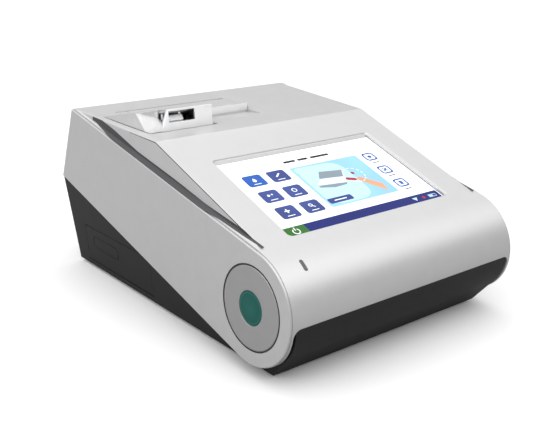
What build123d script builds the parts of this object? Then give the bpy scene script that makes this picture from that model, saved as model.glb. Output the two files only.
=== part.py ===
from build123d import *
from math import acos, atan2, cos, degrees, hypot, pi, radians, sin, tan
import os

# Portable blood gas analyzer. Millimetres, +Z up, screen and nose towards -Y.
# The origin is the middle of the footprint at table height.

# Overall form, seen from the side
length = 317.0
width = 237.4
nose_radius = 41.0
nose_z = 50.1
rear_edge_z = 80.0
rear_top_setback = 22.6
rear_top_z = 143.6
crease_from_rear = 149.0
crease_z = 137.7
front_y = -length / 2
rear_y = length / 2
nose_y = front_y + nose_radius
crease_y = rear_y - crease_from_rear

# Side faces lean inwards going up and spread going back
side_lean = 0.042
side_flare = 0.030
nose_half_width = width / 2 - side_flare * (rear_y - nose_y) + side_lean * (rear_edge_z - nose_z)

# Walls and gaps
wall = 2.6
panel_wall = 1.5
seam = 0.3
seat_gap = 0.2
running_gap = 0.05
corner_round = 1.2

# Band beside the ridge and the deck wall above it
band_lift = 1.8
band_bevel_width = 4.5
deck_half_width = nose_half_width - 7.4758
deck_wall_start = front_y + 42.9
deck_wall_flare = 16.446 / (rear_y - deck_wall_start)
deck_wall_lean = 0.14
trim_height_front = 4.6
trim_height_rear = 6.4
trim_depth = 1.6
trim_recess = 0.6
trim_front_y = front_y + 45.5
trim_rear_y = rear_y - 54.5
trim_front_taper = 42.0
trim_rear_taper = 60.0

# Black base
base_floor_z = 3.0
base_overhang = 0.9
base_side_lean = 0.078
base_nose_half_width = nose_half_width - 4.4758
base_rear_setback = 10.0
nose_split_angle = 3.2
nose_straight_angle = 40.0
nose_opening_half_width = base_nose_half_width + 0.4
nose_opening_round = 6.0
nose_bottom_round = 9.0

# Screen
screen_width = 152.2
screen_height = 93.2
screen_y = crease_y - 80.8
screen_recess = 3.2
glass_margin = 1.9
glass_wall = 1.2
lcd_margin = 5.9
lcd_depth = 4.6
lcd_frame_rim = 4.0
lcd_frame_back = 1.6
screen_bevel = 1.2

# Three-cornered dips beside the screen
facet_front_x = deck_half_width + 1.6
facet_inner_x = screen_width / 2 + screen_bevel
facet_rear_x = deck_half_width - 5.0
facet_front_y = screen_y - 23.7
facet_rear_y = crease_y + 25.5
facet_drop = 4.5

# Indicator slit on the nose
indicator_x = -87.0
indicator_angle = 53.0
indicator_length = 9.0
indicator_width = 3.0

# Printer: hinged lid with a raised nose at its left, paper slot at its right
lid_left = -88.5
lid_right = 20.2
lid_front_y = crease_y + 20.8
lid_peak_z = 155.7
lid_face_lean = 1.5
lid_left_lean = 0.38
lid_block_right = -40.0
lid_wall = 1.8
slot_y = crease_y + 54.3
slot_width = 2.1
slot_top_z = 145.3
lip_wall = 1.4
lip_foot = 2.0
lid_gap = 0.4
scoop_front_y = crease_y + 32.5
scoop_depth = 3.0
notch_depth = 2.0
hinge_y = crease_y + 94.5
hinge_barrel_radius = 2.9
hinge_pin_radius = 1.25
ear_width = 3.4
mouth_left = -80.8
mouth_right = -57.0
mouth_low_z = 145.0
mouth_high_z = 153.9
side_mouth_back_y = lid_front_y + 21.7
lever_pivot_y = lid_front_y + 16.7
lever_pivot_z = 143.5
lever_boss_radius = 2.4
lever_pin_radius = 1.1
lever_left = -78.4
lever_right = -64.6
lug_wall = 1.8

platen_y = slot_y + 6.7
platen_z = 133.5
platen_radius = 5.0
platen_shaft_radius = 2.0
roll_radius = 18.0
roll_y = platen_y + roll_radius - 0.5
roll_z = platen_z - roll_radius + 0.1
roll_core_radius = 6.0
roll_width = 50.0
roll_x = -11.0
roll_gap = 0.6
bay_left = -39.3
bay_right = 17.2
tub_wall = 1.6
gear_module = 0.6
platen_teeth = 18
idler_teeth = 30
pinion_teeth = 12
gear_line_angle = 50.0
gear_left = -49.5
gear_face = 3.5
chassis_left = -44.6
chassis_wall = 1.6
chassis_right = 20.4
head_gap = 0.6
head_wall = 2.0
head_top_z = 133.0
head_height = 13.0
motor_radius = 9.0
motor_shaft_radius = 1.0
idler_stub_radius = 1.5
gear_backlash = 0.08
motor_length = 16.0

# Round ends
disc_radius = 29.6
disc_gap = 1.0
disc_round = 0.9
badge_radius = 12.1
badge_depth = 0.9

# Base fittings
post_x = nose_half_width - 15.6758
post_front_y = front_y + 73.5
post_rear_y = rear_y - 30.5
post_radius = 4.0
post_split_z = 30.0
screw_radius = 1.5
screw_head_radius = 3.0
screw_head_height = 2.0
screw_length = 38.0
foot_x = nose_half_width - 27.6758
foot_front_y = front_y + 54.5
foot_rear_y = rear_y - 19.5
foot_radius = 7.0
foot_recess = 1.0

# Fluid pack bay at the left
door_front_y = rear_y - 138.7
door_rear_y = rear_y - 29.7
door_low_z = 8.0
door_high_z = 41.0
door_wall = 2.4
door_pin_radius = 0.95
door_pin_reach = 1.5
door_foot_gap = 0.6
grip_depth = 0.7
pack_inner_x = 44.2 - base_nose_half_width
pack_length = 95.0
pack_height = 31.0

# Cartridge slot at the right
cartridge_y = rear_y - 130.5
cartridge_width = 54.0
cartridge_slot_z = 21.5
cartridge_slot_height = 7.0
guide_wall = 2.0
guide_floor = 3.5
guide_inner_x = base_nose_half_width - 49.2
guide_outer_x = base_nose_half_width - 2.8
heater_length = 34.0
heater_width = 36.0
heater_wall = 2.0

# Pump
pump_x = -42.0
pump_y = front_y + 92.5
pump_radius = 16.0
pump_height = 13.0
pump_motor_radius = 12.0
pump_motor_height = 24.0
pump_shaft_radius = 2.0

# Barcode scanner at the right
scanner_y = rear_y - 66.5
scanner_z = 32.0
scanner_width = 30.0
scanner_height = 18.0
scanner_module_x = base_nose_half_width - 35.2

# Main board and rear ports
board_z = 44.0
board_wall = 1.6
board_half_width = 60.0
board_front_y = rear_y - 114.5
board_rear_y = rear_y - 14.5
board_hole_x = 53.0
board_hole_inset = 6.0
board_boss_radius = 3.5
port_reach = 0.3
board_screw_radius = 1.4
usb_places = (-28.0, -8.0)
usb_width = 13.2
usb_height = 5.8
lan_x = 16.0
lan_width = 16.0
lan_height = 13.4
inlet_x = 40.0
inlet_radius = 4.6
inlet_height = 11.0
button_x = -50.0
button_z = 54.0
button_radius = 5.5
vent_x = 0.0
vent_z = 68.5
vent_length = 9.0
vent_width = 2.4
speaker_x = 40.0
speaker_y = front_y + 108.5
speaker_radius = 14.0

# Battery in the floor
battery_half_width = 41.0
battery_front_y = rear_y - 89.5
battery_rear_y = rear_y - 29.5
battery_height = 27.0
battery_margin = 3.0

rear_top = (rear_y - rear_top_setback, rear_top_z)
rear_edge = (rear_y, rear_edge_z)
crease = (crease_y, crease_z)
reach = width / 2 + 6.0
hinge_z = crease_z + (hinge_y - crease[0]) * (rear_top_z - crease_z) / (rear_top[0] - crease[0]) - 3.0
ear_places = (lid_left + 6.0, lid_right - 9.4)


def nose_point(angle, radius=nose_radius):
    """Point of the nose circle, angle in degrees above the horizontal, measured at the front."""
    return (nose_y - radius * cos(radians(angle)), nose_z + radius * sin(radians(angle)))


def tangent_angle(point, upper):
    """Front angle of the spot where a line from the point touches the nose circle."""
    away = (point[0] - nose_y, point[1] - nose_z)
    base = degrees(atan2(away[1], away[0]))
    swing = degrees(acos(nose_radius / hypot(*away)))
    return 180.0 - (base + swing) if upper else 180.0 - (base - swing)


ridge_angle = tangent_angle(rear_top, True)
slope_angle = tangent_angle(crease, True)
lower_angle = tangent_angle(rear_edge, False)
ridge_tangent = nose_point(ridge_angle)
slope_tangent = nose_point(slope_angle)
lower_tangent = nose_point(lower_angle)
ridge_slope = (rear_top[1] - ridge_tangent[1]) / (rear_top[0] - ridge_tangent[0])
deck_slope = (crease[1] - slope_tangent[1]) / (crease[0] - slope_tangent[0])
top_slope = (rear_top[1] - crease[1]) / (rear_top[0] - crease[0])
lower_slope = (rear_edge[1] - lower_tangent[1]) / (rear_edge[0] - lower_tangent[0])


def ridge_z(y):
    return rear_top[1] + (y - rear_top[0]) * ridge_slope


def deck_z(y):
    return crease[1] + (y - crease[0]) * (top_slope if y > crease[0] else deck_slope)


def side_plane(side, inset=0.0):
    """Outer side face of the casing, moved inwards by the inset; side is -1 left or 1 right."""
    origin = (side * nose_half_width, nose_y, nose_z)
    face = Plane(origin=origin, x_dir=(0, 1, 0), z_dir=(side, -side_flare, side_lean))
    return face.offset(-inset)


def deck_wall_plane(side, inset=0.0):
    """Steep wall between the deck edge and the band beside the ridge."""
    origin = (side * deck_half_width, deck_wall_start, deck_z(deck_wall_start))
    face = Plane(origin=origin, x_dir=(0, 1, 0), z_dir=(side, -deck_wall_flare, deck_wall_lean))
    return face.offset(-inset)


def base_side_plane(side, inset=0.0):
    origin = (side * base_nose_half_width, nose_y, nose_z)
    face = Plane(origin=origin, x_dir=(0, 1, 0), z_dir=(side, -side_flare, -base_side_lean))
    return face.offset(-inset)


def bevel_plane(side):
    """Slanted top of the band: through the ridge line, rising inwards."""
    origin = (side * nose_half_width, ridge_tangent[0], ridge_tangent[1])
    edge_x = side * (nose_half_width + side_flare * (ridge_tangent[0] - nose_y)
                     - side_lean * (ridge_tangent[1] - nose_z))
    along = Vector(side * (side_flare - side_lean * ridge_slope), 1, ridge_slope)
    inwards = Vector(-side * band_bevel_width, 0, band_lift)
    normal = along.cross(inwards) * (1 if side < 0 else -1)
    if normal.Z < 0:
        normal = normal * -1
    return Plane(origin=(edge_x, origin[1], origin[2]), x_dir=along, z_dir=normal)


# Side view outlines, drawn once and used for shells, cheeks and panels
with BuildSketch(Plane.YZ) as side_outline:
    with BuildLine():
        Line(rear_top, ridge_tangent)
        ThreePointArc(ridge_tangent, nose_point(0), lower_tangent)
        Line(lower_tangent, rear_edge)
        Line(rear_edge, rear_top)
    make_face()

with BuildSketch(Plane.YZ) as deck_outline:
    with BuildLine():
        Polyline(rear_top, crease, slope_tangent)
        ThreePointArc(slope_tangent, nose_point(0), lower_tangent)
        Line(lower_tangent, rear_edge)
        Line(rear_edge, rear_top)
    make_face()

band_front_y = deck_wall_start
band_rear_y = rear_top[0] - band_lift / (ridge_slope - top_slope)
with BuildSketch(Plane.YZ) as band_outline:
    with BuildLine():
        Polyline(rear_top, (band_rear_y, deck_z(band_rear_y)),
                 (band_front_y, deck_z(band_front_y)), slope_tangent)
        ThreePointArc(slope_tangent, nose_point(0), lower_tangent)
        Line(lower_tangent, rear_edge)
        Line(rear_edge, rear_top)
    make_face()

with BuildSketch(Plane.YZ) as under_lower_line:
    with BuildLine():
        Polyline((nose_y, nose_z), (nose_y, -20), (rear_y - wall, -20),
                 (rear_y - wall, rear_edge_z + wall), (nose_y, nose_z), close=True)
    make_face()

with BuildSketch(Plane.YZ) as deck_hollow_outline:
    add(deck_outline.sketch_local)
    offset(amount=-wall, kind=Kind.INTERSECTION)
    add(under_lower_line.sketch_local)

with BuildSketch(Plane.YZ) as band_hollow_outline:
    add(band_outline.sketch_local)
    offset(amount=-wall, kind=Kind.INTERSECTION)
    add(under_lower_line.sketch_local)

cheek_inset = panel_wall + seat_gap
with BuildPart() as deck_hollow:
    extrude(deck_hollow_outline.sketch, amount=reach, both=True)
    for side in (-1, 1):
        split(bisect_by=deck_wall_plane(side, wall), keep=Keep.BOTTOM)
        split(bisect_by=side_plane(side, cheek_inset + wall), keep=Keep.BOTTOM)

with BuildPart() as band_hollow:
    extrude(band_hollow_outline.sketch, amount=reach, both=True)
    for side in (-1, 1):
        split(bisect_by=side_plane(side, cheek_inset + wall), keep=Keep.BOTTOM)

with BuildPart() as band:
    extrude(band_outline.sketch, amount=reach, both=True)
    for side in (-1, 1):
        split(bisect_by=side_plane(side, cheek_inset), keep=Keep.BOTTOM)
        split(bisect_by=bevel_plane(side), keep=Keep.BOTTOM)

def deck_plane(y, depth=0.0):
    """Plane along the deck at the given depth below it, local +Z out of the deck."""
    slope = top_slope if y > crease[0] else deck_slope
    face = Plane(origin=(0, y, deck_z(y)), x_dir=(1, 0, 0), z_dir=(0, -slope, 1))
    return face.offset(-depth)


# Black base: nose, inner flange up to the nose top, tapered sides, sloping rear wall
base_rear_bottom_y = rear_y - base_rear_setback
straight_start = nose_point(-nose_straight_angle)
run = (straight_start[1] - base_floor_z) / cos(radians(nose_straight_angle))
nose_foot_y = straight_start[0] + run * sin(radians(nose_straight_angle))
split_point = nose_point(-nose_split_angle)
split_z = split_point[1]
flange_y = rear_y - (rear_edge_z - seam - split_z) / lower_slope
floor_top = base_floor_z + wall
seat_z = floor_top + seat_gap
with BuildSketch(Plane.YZ) as base_outline:
    with BuildLine():
        ThreePointArc(split_point, nose_point(-(nose_split_angle + nose_straight_angle) / 2),
                      straight_start)
        Polyline(straight_start, (nose_foot_y, base_floor_z), (base_rear_bottom_y, base_floor_z),
                 (rear_y - base_overhang, rear_edge_z - seam), (flange_y, split_z), split_point)
    make_face()
    bottom_front = base_outline.vertices().sort_by_distance((0, nose_foot_y, base_floor_z))[0]
    fillet(bottom_front, nose_bottom_round)

with BuildSketch(Plane.YZ) as base_hollow_outline:
    add(base_outline.sketch_local)
    offset(amount=-wall, kind=Kind.INTERSECTION)
    with BuildLine():
        Polyline((front_y + wall + 1, split_z - wall - 2), (front_y + wall + 1, 100),
                 (rear_y - wall - 2, 100), (rear_y - wall - 2, rear_edge_z - wall - 3),
                 (0, 30), close=True)
    make_face()

with BuildPart() as base_hollow:
    extrude(base_hollow_outline.sketch, amount=reach, both=True)
    for side in (-1, 1):
        split(bisect_by=base_side_plane(side, wall), keep=Keep.BOTTOM)

post_places = [(x, y) for x in (-post_x, post_x) for y in (post_front_y, post_rear_y)]
foot_places = [(x, y) for x in (-foot_x, foot_x) for y in (foot_front_y, foot_rear_y)]
board_hole_places = [(x, y) for x in (-board_hole_x, board_hole_x)
                     for y in (board_front_y + board_hole_inset, board_rear_y - board_hole_inset)]
door_length = door_rear_y - door_front_y
door_face = base_side_plane(-1, door_wall / 2)
door_local = door_face.to_local_coords(
    Vector(-base_nose_half_width, (door_front_y + door_rear_y) / 2, (door_low_z + door_high_z) / 2))
door_axis_drop = (door_high_z - door_low_z) / 2 - door_wall / 2
door_axis_point = door_face.from_local_coords((door_local.X, door_local.Y + door_axis_drop, 0))
door_axis_plane = Plane(origin=door_axis_point, x_dir=door_face.z_dir, z_dir=door_face.x_dir)
door_middle = ((door_front_y + door_rear_y) / 2, (door_low_z + door_high_z) / 2)
door_size = (door_length, door_high_z - door_low_z)


def rear_wall_y(z):
    """Outer face of the sloping rear wall of the base."""
    share = (z - base_floor_z) / (rear_edge_z - seam - base_floor_z)
    return base_rear_bottom_y + share * (base_rear_setback - base_overhang)


# The nose of the base has rounded upper corners, the rest is kept whole
nose_cut_y = front_y - 1 + nose_radius * 1.6
with BuildPart() as nose_keep:
    with BuildSketch(Plane.XZ.offset(-front_y + 1)):
        with Locations((0, (split_z - 20) / 2)):
            RectangleRounded(2 * nose_opening_half_width - 2 * seam, split_z + 20,
                             nose_opening_round - seam)
    extrude(amount=-nose_radius * 1.6)
    with BuildSketch(Plane.XY):
        with Locations((0, nose_cut_y)):
            Rectangle(2 * reach, length, align=(Align.CENTER, Align.MIN))
    extrude(amount=rear_edge_z + 10)

# Cut-outs of the base, each built as its own block
with BuildPart() as door_opening:
    with BuildSketch(Plane.YZ):
        with Locations(door_middle):
            RectangleRounded(door_size[0] + 2 * seam, door_size[1] + 2 * seam, 3.0)
        with Locations((door_middle[0], door_low_z - door_foot_gap)):
            Rectangle(door_size[0] + 2 * seam, door_size[1] / 2, align=(Align.CENTER, Align.MIN))
    extrude(amount=-reach)
    split(bisect_by=base_side_plane(-1, wall + 1.0), keep=Keep.TOP)

with BuildPart() as side_slots:
    with BuildSketch(Plane.YZ):
        with Locations((cartridge_y, cartridge_slot_z)):
            RectangleRounded(cartridge_width + 0.6, cartridge_slot_height, 1.5)
        with Locations((scanner_y, scanner_z)):
            RectangleRounded(scanner_width + 2 * seat_gap, scanner_height + 2 * seat_gap, 2.0)
    extrude(amount=reach)
    split(bisect_by=base_side_plane(1, wall + 1.0), keep=Keep.TOP)

port_z = board_z + board_wall
with BuildPart() as rear_cuts:
    with BuildSketch(Plane.XZ.offset(-rear_y - 2)):
        for x in usb_places:
            with Locations((x, port_z + usb_height / 2)):
                RectangleRounded(usb_width + 2 * seam, usb_height + 2 * seam, 0.3)
        with Locations((lan_x, port_z + lan_height / 2)):
            RectangleRounded(lan_width + 2 * seam, lan_height + 2 * seam, 0.3)
        with Locations((inlet_x, port_z + inlet_height / 2)):
            Circle(inlet_radius + seam)
        with Locations((button_x, button_z)):
            Circle(button_radius + seam)
        with GridLocations(8.0, 0, 10, 1):
            with Locations((vent_x, vent_z)):
                SlotOverall(vent_length, vent_width, rotation=90)
    extrude(amount=14.0)

with BuildPart() as base_tray:
    extrude(base_outline.sketch, amount=reach, both=True)
    for side in (-1, 1):
        split(bisect_by=base_side_plane(side), keep=Keep.BOTTOM)
    add(nose_keep.part, mode=Mode.INTERSECT)
    add(base_hollow.part, mode=Mode.SUBTRACT)
    # screw posts, board posts and the battery fence stand on the floor
    with BuildSketch(Plane.XY.offset(base_floor_z + 0.5)):
        with Locations(*post_places):
            Circle(post_radius + 0.5)
    extrude(amount=post_split_z - base_floor_z - 0.5)
    with BuildSketch(Plane.XY.offset(base_floor_z + 0.5)):
        with Locations(*board_hole_places):
            Circle(board_boss_radius)
    extrude(amount=board_z - seat_gap - base_floor_z - 0.5)
    with BuildSketch(Plane.XY.offset(base_floor_z + 0.5)) as fence:
        with Locations((0, (battery_front_y + battery_rear_y) / 2)):
            Rectangle(2 * (battery_half_width + battery_margin) + 3.2,
                      battery_rear_y - battery_front_y + 2 * battery_margin + 3.2)
            Rectangle(2 * (battery_half_width + battery_margin),
                      battery_rear_y - battery_front_y + 2 * battery_margin,
                      mode=Mode.SUBTRACT)
    extrude(amount=18.0)
    with BuildSketch(Plane.XY):
        with Locations((0, (battery_front_y + battery_rear_y) / 2)):
            RectangleRounded(2 * (battery_half_width + battery_margin),
                             battery_rear_y - battery_front_y + 2 * battery_margin, 2.0)
    extrude(amount=floor_top + 0.1, mode=Mode.SUBTRACT)
    with BuildSketch(Plane.XY):
        with Locations(*post_places):
            Circle(screw_radius + 0.15)
    extrude(amount=post_split_z + 1, mode=Mode.SUBTRACT)
    with BuildSketch(Plane.XY):
        with Locations(*post_places):
            Circle(screw_head_radius + 0.2)
    extrude(amount=base_floor_z + screw_head_height + 0.3, mode=Mode.SUBTRACT)
    with BuildSketch(Plane.XY):
        with Locations(*foot_places):
            Circle(foot_radius + seat_gap)
    extrude(amount=base_floor_z + foot_recess + 0.1, mode=Mode.SUBTRACT)
    with BuildSketch(Plane.XY.offset(board_z + 1)):
        with Locations(*board_hole_places):
            Circle(board_screw_radius + 0.1)
    extrude(amount=-10.0, mode=Mode.SUBTRACT)
    with BuildSketch(Plane.XY):
        with Locations((speaker_x, speaker_y)):
            Circle(1.4)
            with PolarLocations(5.0, 6):
                Circle(1.4)
            with PolarLocations(9.5, 12):
                Circle(1.4)
    extrude(amount=floor_top + 0.1, mode=Mode.SUBTRACT)
    add(door_opening.part, mode=Mode.SUBTRACT)
    add(side_slots.part, mode=Mode.SUBTRACT)
    add(rear_cuts.part, mode=Mode.SUBTRACT)
    # sockets for the door's pins, in the ends of its opening
    with BuildSketch(door_axis_plane):
        Circle(door_pin_radius + running_gap)
    extrude(amount=door_length / 2 + door_pin_reach + seam, both=True, mode=Mode.SUBTRACT)
base_tray.part.label = "base_tray"

with BuildPart() as rubber_feet:
    with BuildSketch(Plane.XY):
        with Locations(*foot_places):
            Circle(foot_radius)
    extrude(amount=base_floor_z + foot_recess)
    fillet(rubber_feet.edges().group_by(Axis.Z)[0], 0.8)
rubber_feet.part.label = "rubber_feet"

with BuildPart() as base_screws:
    with BuildSketch(Plane.XY.offset(base_floor_z + 0.1)):
        with Locations(*post_places):
            Circle(screw_head_radius)
    extrude(amount=screw_head_height)
    with BuildSketch(Plane.XY.offset(base_floor_z + 0.1 + screw_head_height)):
        with Locations(*post_places):
            Circle(screw_radius)
    extrude(amount=screw_length)
    with BuildSketch(Plane.XY.offset(base_floor_z + 0.1)):
        with Locations(*post_places):
            SlotOverall(4.0, 0.9)
            SlotOverall(4.0, 0.9, rotation=90)
    extrude(amount=1.1, mode=Mode.SUBTRACT)
base_screws.part.label = "base_screws"


# Silver top cover: deck, band and cheeks, front opening for the black nose
facet_corners = [(facet_front_x, facet_front_y), (facet_inner_x, facet_front_y),
                 (facet_rear_x, facet_rear_y)]


def facet_plane(side, depth=0.0):
    """Floor of the three-cornered dip, through its inner edge, lower at the outer front corner."""
    inner = Vector(side * facet_inner_x, facet_front_y, deck_z(facet_front_y))
    rear = Vector(side * facet_rear_x, facet_rear_y, deck_z(facet_rear_y))
    outer = Vector(side * facet_front_x, facet_front_y, deck_z(facet_front_y) - facet_drop)
    normal = (rear - inner).cross(outer - inner)
    if normal.Z < 0:
        normal = normal * -1
    return Plane(origin=inner, x_dir=rear - inner, z_dir=normal).offset(-depth)


lcd_half_width = screen_width / 2 + lcd_margin + lcd_frame_rim
with BuildPart() as facet_backing:
    with BuildSketch(Plane.XY.offset(60)):
        for side in (-1, 1):
            with Locations((side * (lcd_half_width + 0.6), facet_front_y - wall)):
                Rectangle(30, crease[0] - facet_front_y, align=(Align.MAX if side < 0 else Align.MIN,
                                                                Align.MIN))
    extrude(amount=100)
    split(bisect_by=deck_plane(facet_front_y, 0.5), keep=Keep.BOTTOM)
    for side in (-1, 1):
        split(bisect_by=deck_wall_plane(side, 0.5), keep=Keep.BOTTOM)
    split(bisect_by=deck_plane(facet_front_y, facet_drop + wall), keep=Keep.TOP)

with BuildPart() as facet_cut:
    with BuildSketch(Plane.XY.offset(60)):
        for side in (-1, 1):
            with BuildLine():
                Polyline([(side * x, y) for x, y in facet_corners], close=True)
            make_face()
    extrude(amount=100)
    for side in (-1, 1):
        split(bisect_by=facet_plane(side), keep=Keep.TOP)

trim_line = [(trim_front_y, 0.0), (trim_front_y + trim_front_taper, trim_height_front),
             (trim_rear_y - trim_rear_taper, trim_height_rear), (trim_rear_y, 1.0)]
with BuildSketch(Plane.YZ) as trim_outline:
    with BuildLine():
        Polyline([(y, ridge_z(y) + band_lift + height) for y, height in trim_line]
                 + [(trim_rear_y, ridge_z(trim_rear_y) + band_lift)], close=True)
    make_face()

with BuildPart() as trim_pocket:
    extrude(trim_outline.sketch, amount=-reach)
    split(bisect_by=deck_wall_plane(-1, trim_depth), keep=Keep.TOP)

lid_opening_rear = hinge_y + hinge_barrel_radius + lid_gap
with BuildPart() as lid_opening:
    with BuildSketch(Plane.XY.offset(deck_z(hinge_y) - 12)):
        with BuildLine():
            Polyline((lid_left - lid_gap, lid_front_y - lid_gap),
                     (lid_block_right + lid_gap, lid_front_y - lid_gap),
                     (lid_block_right + lid_gap, slot_y), (lid_right + lid_gap, slot_y),
                     (lid_right + lid_gap, lid_opening_rear),
                     (lid_left - lid_gap, lid_opening_rear), close=True)
        make_face()
    extrude(amount=30)

lip_left = lid_block_right + 2.0
lip_right = lid_right - 3.2
with BuildPart() as top_cover:
    extrude(deck_outline.sketch, amount=reach, both=True)
    for side in (-1, 1):
        split(bisect_by=deck_wall_plane(side), keep=Keep.BOTTOM)
        split(bisect_by=side_plane(side, cheek_inset), keep=Keep.BOTTOM)
    rounded = top_cover.edges().filter_by(lambda e: e.center().Z > 92 and abs(e.center().X) > 90
                                          and e.length > 60)
    fillet(rounded, corner_round)
    add(band.part)
    add(deck_hollow.part, mode=Mode.SUBTRACT)
    add(band_hollow.part, mode=Mode.SUBTRACT)
    with BuildSketch(Plane.XZ.offset(-front_y + 1)):
        with Locations((0, (split_z + seam - 20) / 2)):
            RectangleRounded(2 * nose_opening_half_width, split_z + seam + 20, nose_opening_round)
    extrude(amount=-nose_radius * 1.6, mode=Mode.SUBTRACT)
    add(facet_backing.part)
    add(facet_cut.part, mode=Mode.SUBTRACT)
    add(trim_pocket.part, mode=Mode.SUBTRACT)
    mirror(trim_pocket.part, about=Plane.YZ, mode=Mode.SUBTRACT)

    # screen window with a slanted edge all round
    with BuildSketch(deck_plane(screen_y, wall + 1)):
        RectangleRounded(screen_width + 2 * glass_margin + 2 * seam,
                         screen_height + 2 * glass_margin + 2 * seam, 3.0)
    extrude(amount=wall + 2, mode=Mode.SUBTRACT)
    with BuildSketch(deck_plane(screen_y, screen_bevel)):
        RectangleRounded(screen_width + 2 * glass_margin + 2 * seam,
                         screen_height + 2 * glass_margin + 2 * seam, 3.0)
    with BuildSketch(deck_plane(screen_y, -0.2)):
        with Locations((screen_bevel / 2, 0)):
            RectangleRounded(screen_width + 2 * glass_margin + 3 * screen_bevel,
                             screen_height + 2 * glass_margin + 2 * screen_bevel, 4.0)
    loft(mode=Mode.SUBTRACT)

    # indicator slit in the nose
    with BuildSketch(Plane(origin=(indicator_x, *nose_point(indicator_angle, nose_radius + 1)),
                           x_dir=(1, 0, 0), z_dir=(0, -cos(radians(indicator_angle)),
                                                   sin(radians(indicator_angle))))) as slit:
        SlotOverall(indicator_length, indicator_width, rotation=90)
    extrude(amount=-wall - 3, mode=Mode.SUBTRACT)

    # printer: backing, scoop before the paper slot, tear lip, opening, hinge ears
    with BuildSketch(Plane.YZ.offset(lip_left - 1.6)):
        with BuildLine():
            Polyline((scoop_front_y - 3, deck_z(scoop_front_y - 3) - 0.5),
                     (slot_y, deck_z(slot_y) - 0.5),
                     (slot_y, deck_z(slot_y) - scoop_depth - lip_foot),
                     (slot_y - lip_foot * 3, deck_z(slot_y) - scoop_depth - lip_foot),
                     (scoop_front_y - 3, deck_z(scoop_front_y - 3) - wall - 0.4), close=True)
        make_face()
    extrude(amount=lip_right - lip_left + 3.2)
    with BuildSketch(Plane.YZ.offset(lip_left)):
        with BuildLine():
            Polyline((scoop_front_y, deck_z(scoop_front_y)),
                     (slot_y - lip_wall, deck_z(slot_y - lip_wall) - scoop_depth),
                     (slot_y - lip_wall, slot_top_z + 1), (scoop_front_y, slot_top_z + 1), close=True)
        make_face()
    extrude(amount=lip_right - lip_left, mode=Mode.SUBTRACT)
    with BuildSketch(Plane.YZ.offset(lip_left)):
        with BuildLine():
            Polyline((slot_y - lip_wall, deck_z(slot_y) - scoop_depth - 1),
                     (slot_y - lip_wall, slot_top_z), (slot_y - 0.5, slot_top_z),
                     (slot_y, slot_top_z - 0.5), (slot_y, deck_z(slot_y) - scoop_depth - 1),
                     close=True)
        make_face()
    extrude(amount=lip_right - lip_left)
    with BuildSketch(Plane.XY.offset(deck_z(40) - notch_depth)):
        with BuildLine():
            Polyline((lid_block_right, lid_front_y - lid_gap), (lid_block_right + 5.2, lid_front_y),
                     (lid_block_right, scoop_front_y + 2), close=True)
        make_face()
    extrude(amount=10, mode=Mode.SUBTRACT)
    add(lid_opening.part, mode=Mode.SUBTRACT)
    for x in ear_places:
        with BuildSketch(Plane.YZ.offset(x)):
            with Locations((hinge_y, hinge_z)):
                Circle(hinge_barrel_radius - 0.2)
            with BuildLine():
                Polyline((hinge_y, hinge_z - hinge_barrel_radius + 0.2),
                         (lid_opening_rear + 4, hinge_z - hinge_barrel_radius - 3.0),
                         (lid_opening_rear + 4, deck_z(hinge_y) - 0.6),
                         (lid_opening_rear - 0.1, deck_z(hinge_y) - 0.6),
                         (lid_opening_rear - 0.1, hinge_z), (hinge_y, hinge_z), close=True)
            make_face()
        extrude(amount=ear_width)
    with BuildSketch(Plane.YZ.offset(ear_places[0] - 1)):
        with Locations((hinge_y, hinge_z)):
            Circle(hinge_pin_radius + running_gap)
    extrude(amount=ear_places[1] - ear_places[0] + ear_width + 2, mode=Mode.SUBTRACT)

    # screw posts down to the base
    for y in (post_front_y, post_rear_y):
        with BuildSketch(Plane.XY.offset(post_split_z + seam)) as post_ring:
            with Locations((-post_x, y), (post_x, y)):
                Circle(post_radius)
        post = extrude(post_ring.sketch, amount=150, mode=Mode.PRIVATE)
        add(post.split(deck_plane(y, 1.0), keep=Keep.BOTTOM))
    with BuildSketch(Plane.XY.offset(post_split_z)):
        with Locations(*post_places):
            Circle(screw_radius + 0.1)
    extrude(amount=16, mode=Mode.SUBTRACT)
top_cover.part.label = "top_cover"

# Side panels with the round end, discs and badges
with BuildPart() as left_side_panel:
    with BuildSketch(Plane.YZ):
        add(side_outline.sketch_local)
        offset(amount=-seam)
    extrude(amount=-reach)
    split(bisect_by=side_plane(-1), keep=Keep.BOTTOM)
    rim = left_side_panel.edges().filter_by(lambda e: e.center().X < -nose_half_width + 3)
    chamfer(rim, 0.5)
    split(bisect_by=side_plane(-1, panel_wall), keep=Keep.TOP)
    with BuildSketch(side_plane(-1)):
        Circle(disc_radius + disc_gap)
    extrude(amount=-panel_wall - 1, mode=Mode.SUBTRACT)
left_side_panel.part.label = "left_side_panel"

with BuildPart() as right_side_panel:
    mirror(left_side_panel.part, about=Plane.YZ)
right_side_panel.part.label = "right_side_panel"

with BuildPart() as left_disc:
    with BuildSketch(side_plane(-1)):
        Circle(disc_radius)
    extrude(amount=-panel_wall)
    fillet(left_disc.edges().filter_by(GeomType.CIRCLE).sort_by(Axis.X)[0], disc_round)
    with BuildSketch(side_plane(-1)):
        Circle(badge_radius + 0.15)
    extrude(amount=-badge_depth, mode=Mode.SUBTRACT)
left_disc.part.label = "left_disc"

with BuildPart() as right_disc:
    mirror(left_disc.part, about=Plane.YZ)
right_disc.part.label = "right_disc"

with BuildPart() as left_badge:
    with BuildSketch(side_plane(-1, badge_depth - 0.05)):
        Circle(badge_radius)
    extrude(amount=badge_depth - 0.05)
left_badge.part.label = "left_badge"

with BuildPart() as right_badge:
    mirror(left_badge.part, about=Plane.YZ)
right_badge.part.label = "right_badge"

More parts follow.
